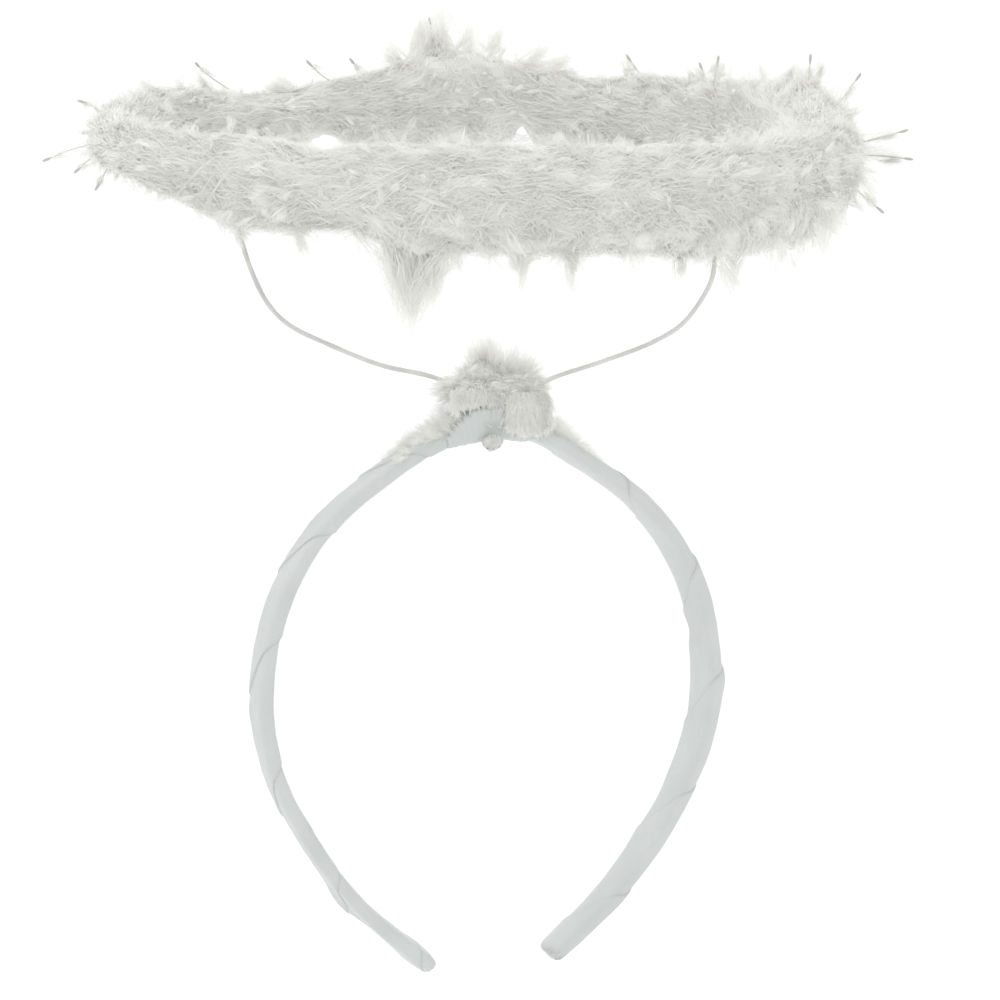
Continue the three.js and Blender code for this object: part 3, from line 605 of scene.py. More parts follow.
def make_coated_wire():
    """Steel wire dipped in soft white plastic: off-white, with a low uneven gloss and waves in the coat."""
    material, surface = new_material("coated_wire")
    place = add_node(material, "TexCoord").outputs["Object"]
    waves = add_noise(material, place, 1.6 * MM, 3.0)
    soil = add_noise(material, place, 9 * MM, 4.0)
    tone = add_tones(material, soil, 0.35, "#c6c6c3", 0.6, "#d6d6d3")
    gloss = add_node(material, "MapRange", {
        "Value": waves.outputs["Fac"], "From Min": 0.3, "From Max": 0.7, "To Min": 0.4, "To Max": 0.6,
    })
    coat = add_relief(material, waves, 0.15 * MM, 0.2)
    shader = add_node(material, "BsdfPrincipled", {
        "Base Color": tone, "Roughness": gloss.outputs["Result"], "IOR": 1.5, "Normal": coat,
    })
    material.node_tree.links.new(shader.outputs["BSDF"], surface)
    return material


def arm_points(rows, end):
    """One arm of the wire, from the foot to its end in the fluff."""
    foot = WIRE_FOOT_HEIGHT
    return [(end[0] * row["out"], 0, foot + (end[2] - foot) * row["up"]) for row in rows]


end_turn = np.arccos(WIRE_HALF_SPREAD / HALO_RADIUS) / (2 * np.pi)
left_end, right_end = ring_at([0.5 + end_turn, -end_turn])[0]
wire_rows = [
    *arm_points(LEFT_ARM_ROWS, left_end)[::-1],
    (0, 0, WIRE_FOOT_HEIGHT),
    *arm_points(RIGHT_ARM_ROWS, right_end),
]
wire_line, _ = smooth_line(in_band_frame(np.array(wire_rows)), per_row=20)
wire_size = WIRE_DIAMETER / 2 + 0.03 * MM * ripples(chance, wire_line, 4 * MM)
points, faces = tube(wire_line, wire_size, sides=10)
add_piece("halo_wire_coated", points, faces, make_coated_wire(), nodes=["halo_wire"])


# Halo: a trim of white marabou, which is short feathers with long limp barbs, twisted round a cord so
# that they stand out on all sides. The trim is wired to a hoop that it hides, and a few cut quills show.

FLUFF_REACH = 20 * MM  # of the longest ordinary barbs, from the ring's middle line
BARB_WIDTH = 0.13 * MM
DOWN_WIDTH = 0.24 * MM  # of the short down under the barbs
QUILL_WIDTH = 0.5 * MM
SHORT_STATIONS = ((0.0, 1.0), (0.55, 0.8))  # along a strip of short down: shares of its length and width

# The fluff round the ring, from its right end by the back, as shares of FLUFF_REACH. Where the back's
# lower side and the front's upper side are both low, light shows through between them.
FLUFF_ROWS = [
    {"turn": 0, "up": 0.86, "down": 0.9, "side": 0.62},
    {"turn": 0.04, "up": 1.12, "down": 0.8, "side": 0.56},
    {"turn": 0.07, "up": 0.95, "down": 0.66, "side": 0.52},
    {"turn": 0.1, "up": 0.84, "down": 0.64, "side": 0.5},
    {"turn": 0.13, "up": 0.76, "down": 0.66, "side": 0.48},
    {"turn": 0.163, "up": 0.74, "down": 0.72, "side": 0.46},
    {"turn": 0.186, "up": 0.58, "down": 0.74, "side": 0.45},
    {"turn": 0.218, "up": 0.7, "down": 0.74, "side": 0.45},
    {"turn": 0.225, "up": 0.78, "down": 0.36, "side": 0.47},
    {"turn": 0.235, "up": 0.86, "down": 0.76, "side": 0.5},
    {"turn": 0.25, "up": 1.0, "down": 0.8, "side": 0.5},
    {"turn": 0.27, "up": 1.02, "down": 0.8, "side": 0.5},
    {"turn": 0.29, "up": 0.7, "down": 0.78, "side": 0.48},
    {"turn": 0.317, "up": 0.46, "down": 0.76, "side": 0.45},
    {"turn": 0.326, "up": 0.42, "down": 0.5, "side": 0.44},
    {"turn": 0.338, "up": 0.3, "down": 0.72, "side": 0.42},
    {"turn": 0.36, "up": 0.18, "down": 0.68, "side": 0.4},
    {"turn": 0.39, "up": 0.3, "down": 0.64, "side": 0.4},
    {"turn": 0.417, "up": 0.5, "down": 0.55, "side": 0.42},
    {"turn": 0.45, "up": 0.54, "down": 0.5, "side": 0.42},
    {"turn": 0.5, "up": 0.5, "down": 0.36, "side": 0.42},
    {"turn": 0.57, "up": 0.44, "down": 0.32, "side": 0.42},
    {"turn": 0.617, "up": 0.5, "down": 0.5, "side": 0.46},
    {"turn": 0.645, "up": 0.6, "down": 0.8, "side": 0.52},
    {"turn": 0.672, "up": 0.6, "down": 0.76, "side": 0.56},
    {"turn": 0.69, "up": 0.48, "down": 0.64, "side": 0.58},
    {"turn": 0.705, "up": 0.64, "down": 0.62, "side": 0.6},
    {"turn": 0.716, "up": 0.64, "down": 0.82, "side": 0.6},
    {"turn": 0.728, "up": 0.66, "down": 1.02, "side": 0.6},
    {"turn": 0.742, "up": 0.68, "down": 0.9, "side": 0.6},
    {"turn": 0.773, "up": 0.7, "down": 0.94, "side": 0.62},
    {"turn": 0.8, "up": 0.7, "down": 0.92, "side": 0.62},
    {"turn": 0.83, "up": 0.66, "down": 0.98, "side": 0.64},
    {"turn": 0.864, "up": 0.62, "down": 1.18, "side": 0.66},
    {"turn": 0.892, "up": 0.6, "down": 1.08, "side": 0.66},
    {"turn": 0.93, "up": 0.62, "down": 1.12, "side": 0.66},
    {"turn": 0.96, "up": 0.7, "down": 0.9, "side": 0.66},
]

# Places where the fluff parts and light shows through: place round the ring, slope, distance from the
# ring's middle line, and half the gap's breadth, depth and height. Each pair is two ends of one gap.
PARTINGS = [
    {"turn": 0.69, "slope": 90, "reach": 11.6 * MM, "half": np.array([3.7, 16, 1.7]) * MM},
    {"turn": 0.3263, "slope": -90, "reach": 12.0 * MM, "half": np.array([4.4, 16, 2.0]) * MM},
    {"turn": 0.773, "slope": 90, "reach": 16.1 * MM, "half": np.array([1.5, 16, 1.4]) * MM},
    {"turn": 0.225, "slope": -90, "reach": 8.1 * MM, "half": np.array([1.8, 16, 1.6]) * MM},
]

# Pointed tufts of barbs that cling together: place round the ring, slope, how far on the tip leans round
# the ring, its reach as a share of FLUFF_REACH, the feathers in it, and the spread of its roots where that
# isn't TUFT_FOOT
TUFT_FOOT = 0.0035  # of a turn round the ring
TUFT_ROWS = [
    {"turn": 0.0, "slope": 80, "lean": 0.0, "reach": 1.05, "feathers": 10},
    {"turn": 0.0, "slope": 56, "lean": -0.01, "reach": 0.92, "feathers": 10},
    {"turn": 0.002, "slope": 18, "lean": 0.0, "reach": 1.28, "feathers": 5},
    {"turn": 0.998, "slope": 8, "lean": -0.004, "reach": 1.24, "feathers": 5},
    {"turn": 0.995, "slope": -2, "lean": 0.0, "reach": 1.3, "feathers": 9},
    {"turn": 0.985, "slope": -31, "lean": 0.0, "reach": 1.06, "feathers": 8},
    {"turn": 0.972, "slope": -50, "lean": 0.0, "reach": 1.06, "feathers": 9},
    {"turn": 0.03, "slope": 86, "lean": -0.008, "reach": 1.3, "feathers": 12},
    {"turn": 0.06, "slope": 90, "lean": -0.01, "reach": 1.16, "feathers": 14},
    {"turn": 0.085, "slope": 90, "lean": -0.004, "reach": 0.98, "feathers": 8},
    {"turn": 0.117, "slope": 90, "lean": -0.006, "reach": 0.98, "feathers": 10},
    {"turn": 0.129, "slope": 92, "lean": 0.004, "reach": 0.86, "feathers": 8},
    {"turn": 0.168, "slope": 90, "lean": 0.003, "reach": 0.9, "feathers": 8},
    {"turn": 0.215, "slope": 88, "lean": -0.018, "reach": 0.92, "feathers": 9},
    {"turn": 0.228, "slope": 88, "lean": -0.016, "reach": 1.02, "feathers": 9},
    {"turn": 0.243, "slope": 88, "lean": -0.008, "reach": 1.22, "feathers": 10},
    {"turn": 0.256, "slope": 90, "lean": -0.005, "reach": 1.36, "feathers": 20, "foot": 0.006},
    {"turn": 0.266, "slope": 90, "lean": 0.0, "reach": 1.52, "feathers": 26, "foot": 0.008},
    {"turn": 0.276, "slope": 92, "lean": 0.0, "reach": 1.34, "feathers": 18, "foot": 0.006},
    {"turn": 0.284, "slope": 92, "lean": 0.012, "reach": 1.05, "feathers": 9},
    {"turn": 0.34, "slope": 95, "lean": 0.02, "reach": 0.5, "feathers": 8},
    {"turn": 0.393, "slope": 88, "lean": 0.012, "reach": 0.66, "feathers": 9},
    {"turn": 0.44, "slope": 88, "lean": 0.018, "reach": 0.66, "feathers": 9},
    {"turn": 0.485, "slope": 44, "lean": 0.0, "reach": 0.82, "feathers": 6},
    {"turn": 0.5, "slope": 4, "lean": 0.0, "reach": 0.66, "feathers": 8},
    {"turn": 0.51, "slope": -22, "lean": 0.0, "reach": 1.0, "feathers": 5},
    {"turn": 0.555, "slope": -70, "lean": -0.006, "reach": 0.52, "feathers": 7},
    {"turn": 0.6, "slope": -84, "lean": -0.004, "reach": 0.62, "feathers": 7},
    {"turn": 0.648, "slope": -90, "lean": 0.004, "reach": 0.96, "feathers": 9},
    {"turn": 0.676, "slope": -90, "lean": 0.006, "reach": 0.92, "feathers": 9},
    {"turn": 0.721, "slope": -92, "lean": 0.002, "reach": 1.4, "feathers": 24, "foot": 0.005},
    {"turn": 0.727, "slope": -90, "lean": 0.0, "reach": 1.75, "feathers": 46, "foot": 0.0075},
    {"turn": 0.735, "slope": -88, "lean": 0.001, "reach": 1.42, "feathers": 22, "foot": 0.006},
    {"turn": 0.771, "slope": -90, "lean": 0.0, "reach": 1.3, "feathers": 14, "foot": 0.005},
    {"turn": 0.793, "slope": -90, "lean": 0.001, "reach": 1.28, "feathers": 10},
    {"turn": 0.845, "slope": -90, "lean": -0.003, "reach": 1.24, "feathers": 10},
    {"turn": 0.872, "slope": -90, "lean": 0.003, "reach": 1.42, "feathers": 16, "foot": 0.006},
    {"turn": 0.917, "slope": -88, "lean": 0.0, "reach": 1.26, "feathers": 10},
    {"turn": 0.945, "slope": -80, "lean": 0.002, "reach": 1.2, "feathers": 10},
]

# Cut quills that stand out of the fluff: the tip's place round the ring, how far back along the ring its
# root lies, slope, and reach as a share of FLUFF_REACH
QUILLS = [
    {"turn": 0.405, "from": -0.022, "slope": 88, "reach": 0.8},
    {"turn": 0.336, "from": -0.016, "slope": 92, "reach": 0.72},
    {"turn": 0.312, "from": -0.012, "slope": 88, "reach": 0.74},
    {"turn": 0.288, "from": -0.002, "slope": 90, "reach": 0.78},
    {"turn": 0.272, "from": -0.004, "slope": 92, "reach": 1.4},
    {"turn": 0.17, "from": -0.01, "slope": 90, "reach": 0.94},
    {"turn": 0.127, "from": -0.006, "slope": 90, "reach": 0.92},
    {"turn": 0.115, "from": 0.005, "slope": 90, "reach": 1.06},
    {"turn": 0.035, "from": 0.002, "slope": 87, "reach": 1.34},
    {"turn": 0.0, "from": 0.012, "slope": 64, "reach": 1.3},
    {"turn": 0.0, "from": 0.0, "slope": 15, "reach": 1.32},
    {"turn": 0.996, "from": 0.0, "slope": -3, "reach": 1.34},
    {"turn": 0.985, "from": 0.004, "slope": -42, "reach": 1.2},
    {"turn": 0.505, "from": 0.0, "slope": -18, "reach": 1.16},
    {"turn": 0.515, "from": 0.0, "slope": -38, "reach": 0.78},
    {"turn": 0.53, "from": 0.004, "slope": -64, "reach": 0.74},
    {"turn": 0.49, "from": 0.0, "slope": 36, "reach": 0.8},
    {"turn": 0.2, "from": 0.01, "slope": 10, "reach": 0.7},
    {"turn": 0.36, "from": 0.008, "slope": 20, "reach": 0.62},
    {"turn": 0.14, "from": -0.008, "slope": -25, "reach": 0.72},
]

# Long single barbs that hang over the near side: place round the ring, slopes of their start and end,
# and reach at the end
DRAPES = [
    {"turn": 0.745, "onward": -0.04, "start": 95, "end": -30, "reach": 0.95, "barbs": 12},
    {"turn": 0.75, "onward": -0.02, "start": 95, "end": -55, "reach": 0.95, "barbs": 8},
    {"turn": 0.832, "onward": 0.03, "start": 90, "end": -60, "reach": 1.05, "barbs": 12},
    {"turn": 0.7, "onward": 0.012, "start": 85, "end": -10, "reach": 0.8, "barbs": 6},
    {"turn": 0.66, "onward": -0.02, "start": 85, "end": -45, "reach": 0.8, "barbs": 6},
    {"turn": 0.28, "onward": 0.03, "start": 60, "end": -10, "reach": 0.8, "barbs": 8},
]


def fluff_reach(turn, slope):
    """How far the fluff reaches from the ring's middle line, in a direction round its section."""
    turns = [row["turn"] for row in FLUFF_ROWS]
    up, down, side = (np.interp(turn, turns, [row[name] for row in FLUFF_ROWS], period=1)
                      for name in ("up", "down", "side"))
    upright = np.where(np.sin(slope) > 0, up, down)
    return FLUFF_REACH / np.hypot(np.cos(slope) / side, np.sin(slope) / upright)


def fluff_place(turn, slope, reach):
    """Places round the ring, at a slope round its section and a distance from its middle line."""
    place, outward_way, _ = ring_at(turn)
    place = place + outward_way * (np.cos(slope) * reach)[..., None]
    place[..., 2] += np.sin(slope) * reach
    return place


def barb_strips(chance, roots, tips, bends, facing, width, stations=((0.0, 1.0), (0.38, 0.9), (0.74, 0.6))):
    """Barbs as thin strips that end in a point, each with its root, its tip, how far it bends and about which
    way its flat side faces. A station is a share of the length and of the width."""
    way = tips - roots
    flat = unit(np.cross(way, facing + chance.normal(0, 0.15, way.shape)))
    edges = []
    for share, size in stations:
        middle = roots + way * share + bends * (4 * share * (1 - share))
        half = flat * (width * size / 2)
        edges += [middle - half, middle + half]
    points = np.stack([*edges, tips], axis=1)
    last = len(edges) - 2
    corners = [[last, last + 1, last + 2]]
    for k in range(0, last, 2):
        corners += [[k, k + 1, k + 2], [k + 1, k + 3, k + 2]]
    faces = np.arange(len(roots))[:, None, None] * points.shape[1] + np.array(corners)
    return points.reshape(-1, 3), faces.reshape(-1, 3)


def parted(barbs):
    """The barbs without those that cross a place where the fluff parts."""
    roots, tips, bends, facings = barbs
    clear = np.ones(len(roots), bool)
    for row in PARTINGS:
        middle = fluff_place(np.array(row["turn"]), np.radians(row["slope"]), row["reach"])
        for share in np.linspace(0, 1, 9):
            place = roots + (tips - roots) * share + bends * (4 * share * (1 - share))
            clear &= np.linalg.norm((place - middle) / row["half"], axis=1) > 1
    return roots[clear], tips[clear], bends[clear], facings[clear]


def plume_barbs(chance, roots, tips, facing, barbs, spread, droop, open_tip=0.3):
    """The barbs of soft feathers. Each feather's barbs leave its short shaft in two fans, which narrow
    towards its tip to a share of their spread."""
    way = (tips - roots)[:, None, :]
    length = np.linalg.norm(way, axis=-1, keepdims=True)
    count = len(roots)
    side = unit(np.cross(way[:, 0], facing + chance.normal(0, 0.5, (count, 3))))[:, None, :]
    third = unit(np.cross(side[:, 0], way[:, 0]))[:, None, :]
    start = chance.uniform(0.0, 0.6, (count, barbs, 1))
    fan = chance.normal(0, 1, (count, barbs, 1)) * spread
    lift = chance.normal(0, 0.4, (count, barbs, 1)) * spread
    end = start + (1.02 - start) * chance.uniform(0.55, 1.05, (count, barbs, 1))
    barb_roots = roots[:, None, :] + way * start + side * (fan * start * length * 0.4)
    fanned = (side * fan + third * lift) * length
    barb_tips = roots[:, None, :] + way * end + fanned * (1.3 - (1.3 - open_tip) * end)
    drop = np.array([0, 0, -1.0]) * length * droop * chance.uniform(0.3, 1.4, (count, barbs, 1))
    curl = chance.normal(0, 0.06, (count, barbs, 3)) * length
    barb_tips = barb_tips + drop
    bends = curl + side * fan * length * 0.2 - drop * 0.25
    facings = facing[:, None, :] + 0 * barb_tips
    return [part.reshape(-1, 3) for part in (barb_roots, barb_tips, bends, facings)]


def make_marabou(name, light, dark, clearness):
    """Bleached marabou down: matt and milky, with a soft sheen at its edges where light passes through the
    finest fibres, and faint cool and warm clumps."""
    material, surface = new_material(name)
    place = add_node(material, "TexCoord").outputs["Object"]
    clumps = add_noise(material, place, 11 * MM, 4.0)
    fibres = add_noise(material, place, 1.2 * MM, 2.0)
    tone = add_tones(material, clumps, 0.32, dark, 0.6, light)
    fuzz = add_relief(material, fibres, 0.3 * MM, 0.2)
    shader = add_node(material, "BsdfPrincipled", {
        "Base Color": tone, "Roughness": 0.9, "IOR": 1.4, "Specular IOR Level": 0.2,
        "Sheen Weight": 0.25, "Sheen Roughness": 0.6, "Normal": fuzz,
    })
    through = add_node(material, "BsdfTranslucent", {"Color": tone})
    fibre = add_node(material, "MixShader", {
        0: clearness, 1: shader.outputs["BSDF"], 2: through.outputs["BSDF"],
    })
    material.node_tree.links.new(fibre.outputs["Shader"], surface)
    return material


def fluff_core(chance, share, steps=320, sides=32):
    """The closed matted down under the barbs."""
    turn, slope = np.meshgrid(np.arange(steps) / steps, 2 * np.pi * np.arange(sides) / sides, indexing="ij")
    plain = fluff_place(turn, slope, fluff_reach(turn, slope))
    uneven = 1 + 0.05 * ripples(chance, plain, 9 * MM) + 0.03 * ripples(chance, plain, 3 * MM)
    points = fluff_place(turn, slope, fluff_reach(turn, slope) * share * uneven).reshape(-1, 3)
    return in_band_frame(points), outward(points, ring_faces(steps, sides))


def halo_feathers(chance, count, turns, lengths, barbs, spread, droop):
    """Feathers along a stretch of the ring, from the matted down out to the fluff's reach and past it."""
    turn = chance.uniform(*turns, count)
    slope = chance.uniform(0, 2 * np.pi, count)
    reach = fluff_reach(turn, slope)
    roots = fluff_place(turn, slope, reach * chance.uniform(0.6, 0.85, count))
    lean = chance.normal(0, 0.012, count)
    tip_slope = slope + chance.normal(0, 0.25, count)
    tip_reach = fluff_reach(turn + lean, tip_slope) * chance.uniform(*lengths, count)
    tip_reach = tip_reach + FLUFF_REACH * chance.uniform(0, 0.13, count)
    tips = fluff_place(turn + lean, tip_slope, tip_reach)
    facing = unit(roots - fluff_place(turn, slope, 0 * slope))
    plumes = plume_barbs(chance, roots, tips, facing, barbs, spread, droop)
    points, faces = barb_strips(chance, *parted(plumes), BARB_WIDTH)
    return in_band_frame(points), faces


def halo_tufts(chance, density):
    """The pointed tufts, each of a few long feathers whose tips come together."""
    layers = []
    for row in TUFT_ROWS:
        count = max(2, int(row["feathers"] * density))
        turn = row["turn"] + chance.normal(0, row.get("foot", TUFT_FOOT), count)
        slope = np.radians(row["slope"]) + chance.normal(0, 0.13, count)
        roots = fluff_place(turn, slope, fluff_reach(turn, slope) * chance.uniform(0.75, 0.98, count))
        tip_turn = row["turn"] + row["lean"] * chance.uniform(0.7, 1.3, count)
        tip_turn = tip_turn + chance.normal(0, 0.001, count)
        tip_slope = np.radians(row["slope"]) + chance.normal(0, 0.06, count)
        tip_reach = FLUFF_REACH * row["reach"] * chance.uniform(0.62, 1.14, count)
        tips = fluff_place(tip_turn, tip_slope, tip_reach)
        _, outward_way, _ = ring_at(turn)
        facing = [0, 0, 1] * np.cos(slope)[:, None] - outward_way * np.sin(slope)[:, None]
        plumes = plume_barbs(chance, roots, tips, facing, 25, spread=0.17, droop=0.0, open_tip=0.06)
        layers.append(barb_strips(chance, *parted(plumes), BARB_WIDTH))
    points, faces, _ = join_parts(layers)
    return in_band_frame(points), faces


def halo_undercoat(chance, count, turns):
    """Short down on a stretch of the ring, which lies on a slant over the matted down."""
    turn = chance.uniform(*turns, count)
    slope = chance.uniform(0, 2 * np.pi, count)
    roots = fluff_place(turn, slope, fluff_reach(turn, slope) * chance.uniform(0.78, 0.86, count))
    lean = chance.normal(0, 0.01, count)
    tip_slope = slope + chance.normal(0, 0.6, count)
    tip_reach = fluff_reach(turn + lean, tip_slope) * chance.uniform(0.88, 1.0, count)
    tips = fluff_place(turn + lean, tip_slope, tip_reach)
    facing = unit(roots - fluff_place(turn, slope, 0 * slope))
    bends = facing * np.linalg.norm(tips - roots, axis=1)[:, None] * 0.09
    barbs = parted((roots, tips, bends, facing))
    points, faces = barb_strips(chance, *barbs, DOWN_WIDTH, SHORT_STATIONS)
    return in_band_frame(points), faces


marabou = make_marabou("bleached_marabou", light="#f9f9f6", dark="#f4f4f1", clearness=0.4)
matted_down = make_marabou("matted_down", light="#f4f4f1", dark="#efefec", clearness=0.1)
points, faces = fluff_core(chance, share=0.84)
add_piece("halo_down", points, faces, matted_down, nodes=["halo"])
density = 1.0
HALO_STRETCHES = {
    "halo_marabou_back_right": (0.0, 0.25),
    "halo_marabou_back_left": (0.25, 0.5),
    "halo_marabou_front_left": (0.5, 0.75),
    "halo_marabou_front_right": (0.75, 1.0),
}
for name, turns in HALO_STRETCHES.items():
    layers = [
        halo_feathers(chance, int(340 * density), turns, (0.96, 1.26), barbs=27, spread=0.24, droop=0.04),
        halo_feathers(chance, int(160 * density), turns, (0.86, 1.04), barbs=22, spread=0.34, droop=0.0),
        halo_undercoat(chance, int(31000 * density), turns),
    ]
    add_joined(name, layers, marabou)
points, faces = halo_tufts(chance, density)
add_piece("halo_marabou_tufts", points, faces, marabou)


def make_quill(name, colour, rough):
    """Feather shaft, which is keratin: pale and slightly glossy, and darker where the cut end has dried."""
    material, surface = new_material(name)
    place = add_node(material, "TexCoord").outputs["Object"]
    streaks = add_noise(material, place, 0.8 * MM, 3.0)
    tone = add_node(material, "ValToRGB", {"Fac": streaks.outputs["Fac"]})
    for element, share in zip(tone.color_ramp.elements, (0.8, 1.0)):
        element.color = (*[share * level for level in linear(colour)[:3]], 1.0)
    relief = add_relief(material, streaks, 0.1 * MM, 0.5)
    shader = add_node(material, "BsdfPrincipled", {
        "Base Color": tone.outputs["Color"], "Roughness": rough, "IOR": 1.54, "Normal": relief,
    })
    material.node_tree.links.new(shader.outputs["BSDF"], surface)
    return material


shafts, cut_ends, quill_barbs = [], [], []
for row in QUILLS:
    slope = np.radians(row["slope"])
    root = fluff_place(np.array(row["turn"] + row["from"]), slope, FLUFF_REACH * 0.35)
    tip = fluff_place(np.array(row["turn"]), slope, FLUFF_REACH * row["reach"])
    bend = (root + tip) / 2 + chance.normal(0, 0.5, 3) * MM
    shaft_line, _ = smooth_line(in_band_frame(np.stack([root, bend, tip])), per_row=6)
    shafts.append(tube(shaft_line, QUILL_WIDTH / 2 * np.linspace(1.0, 0.8, len(shaft_line)), sides=6))
    way = unit(shaft_line[-1] - shaft_line[-2])
    cut_end = shaft_line[-1] + way * np.linspace(-2.2, 0.8, 7)[:, None] * MM
    cut_ends.append(tube(cut_end, QUILL_WIDTH * np.array([0.4, 0.62, 0.8, 0.9, 0.9, 0.78, 0.5]), sides=8))
    middle = (shaft_line[0] + shaft_line[-1]) / 2
    stems = middle + chance.normal(0, 1.0, (6, 3)) * MM, shaft_line[-2] + chance.normal(0, 0.5, (6, 3)) * MM
    facing = np.cross(way, chance.normal(size=(6, 3)))
    quill_barbs.append(barb_strips(chance, *plume_barbs(
        chance, *stems, facing, 16, 0.2, 0.03, open_tip=0.1), 0.12 * MM))
add_joined("halo_quill_shafts", shafts, make_quill("quill_shaft", "#e2e1dc", 0.5))
add_joined("halo_quill_ends", cut_ends, make_quill("quill_cut_end", "#cbc9c3", 0.6))
add_joined("halo_quill_barbs", quill_barbs, marabou)

hanging_roots, hanging_tips, hanging_bends, hanging_facings = [], [], [], []
for row in DRAPES:
    spot = row["turn"] + chance.normal(0, 0.006, row["barbs"])
    start, end = np.radians(row["start"]), np.radians(row["end"])
    slopes = end + chance.normal(0, 0.15, row["barbs"])
    first = fluff_place(spot, np.full(row["barbs"], start), fluff_reach(spot, start) * 0.8)
    reach = FLUFF_REACH * row["reach"] * chance.uniform(0.75, 1.1, row["barbs"])
    last = fluff_place(spot + row["onward"] * chance.uniform(0.6, 1.2, row["barbs"]), slopes, reach)
    _, outward_way, _ = ring_at(spot)
    hanging_roots.append(first)
    hanging_tips.append(last)
    hanging_bends.append(outward_way * 6 * MM + chance.normal(0, 0.8, first.shape) * MM)
    hanging_facings.append(outward_way)
points, faces = barb_strips(
    chance, np.vstack(hanging_roots), np.vstack(hanging_tips), np.vstack(hanging_bends),
    np.vstack(hanging_facings), 0.22 * MM,
)
add_piece("halo_hanging_barbs", in_band_frame(points), faces, marabou)


# Crown tuft: a small piece of the same marabou, glued over the wire's foot. It stands up in two or three
# points and hangs over the binding in front, further on the right. Thin down runs along the band.

TUFT_MIDDLE = np.array([1.2, 0, 13.8]) * MM
TUFT_HALF = np.array([15.5, 9.4, 5.4]) * MM  # half its length, depth and height, to the dense fluff
TUFT_CORE = 0.86  # share of that size that is matted down
TUFT_DOWN_WIDTH = 0.28 * MM
LAP_DOWN_WIDTH = 0.25 * MM
TUFT_BARB_WIDTH = 0.14 * MM
HAZE_WIDTH = 0.065 * MM

# Smaller lobes of dense fluff, in millimetres: over the binding's right end, before that, and on top
TUFT_LAPS = [
    {"middle": (12.9, 0, 7.2), "half": (4.6, 9.8, 6.4), "feathers": 130, "down": 2600},
    {"middle": (10.8, -5.4, 7.8), "half": (4.6, 5.0, 6.3), "feathers": 40, "down": 1100},
    {"middle": (-2.4, 0, 17.4), "half": (6.0, 6.0, 5.2), "feathers": 120, "down": 2000},
]

# Points in which feathers come together, in millimetres
TUFT_POINTS = [
    {"tip": (-0.4, -2, 29.0), "feathers": 16, "spread": 1.5},
    {"tip": (-5.8, 1, 26.0), "feathers": 18, "spread": 1.6},
    {"tip": (-8.6, 0, 21.0), "feathers": 12, "spread": 1.6},
    {"tip": (7.6, -1, 27.6), "feathers": 3, "spread": 0.3},
    {"tip": (13.8, 0, 22.4), "feathers": 16, "spread": 1.6},
    {"tip": (8.6, 3, 22.5), "feathers": 16, "spread": 2.0},
    {"tip": (3.4, 0, 24.5), "feathers": 14, "spread": 1.6},
    {"tip": (-15.0, 0, 15.2), "feathers": 14, "spread": 1.4},
    {"tip": (17.4, 0, 15.5), "feathers": 12, "spread": 1.2},
]

# Fluff that hangs before the binding, in millimetres: its stretch along the band, the heights of its top
# and foot, how much higher or lower the foot is at its two ends, how far to the front it lies and swells,
# and its feathers and down
FRONT_LAPS = [
    {
        "sides": (2.0, 14.2), "top": 14.5, "foot": 1.9, "rise": 1.6,
        "depth": 10.0, "swell": 1.2, "feathers": 120, "down": 2800,
    },
    {
        "sides": (-13.5, 4.0), "top": 15.5, "foot": 10.3, "rise": -2.5,
        "depth": 9.3, "swell": 0.3, "feathers": 90, "down": 900,
    },
]
SKIRT_START, SKIRT_END = 10 * MM, 28 * MM  # from the crown along the band


def matted_egg(chance, middle, half, share):
    """Matted down inside a tuft."""
    points, faces = egg(middle, half * share)
    uneven = 1 + 0.04 * ripples(chance, points, 6 * MM)
    return middle + (points - middle) * uneven[:, None], faces


def tuft_feathers(chance, middle, half, count, lowest):
    """Feathers that stand out of a tuft on all sides down to a lowest slope."""
    way = unit(chance.normal(size=(count * 3, 3)) * [1, 1, 0.9])
    way = way[way[:, 2] > lowest][:count]
    roots = middle + way * half * chance.uniform(0.6, 0.85, (len(way), 1))
    tip_way = unit(way + chance.normal(0, 0.28, way.shape))
    tips = middle + tip_way * half * chance.uniform(0.9, 1.3, (len(way), 1))
    return roots, tips, way


def tuft_undercoat(chance, middle, half, count, width):
    """Short down that lies on a slant over a tuft's matted down."""
    way = unit(chance.normal(size=(count, 3)))
    roots = middle + way * half * chance.uniform(0.78, 0.86, (count, 1))
    tip_way = unit(way + chance.normal(0, 0.5, way.shape))
    tips = middle + tip_way * half * chance.uniform(0.9, 1.04, (count, 1))
    return barb_strips(chance, roots, tips, way * 0.3 * MM, way, width, SHORT_STATIONS)


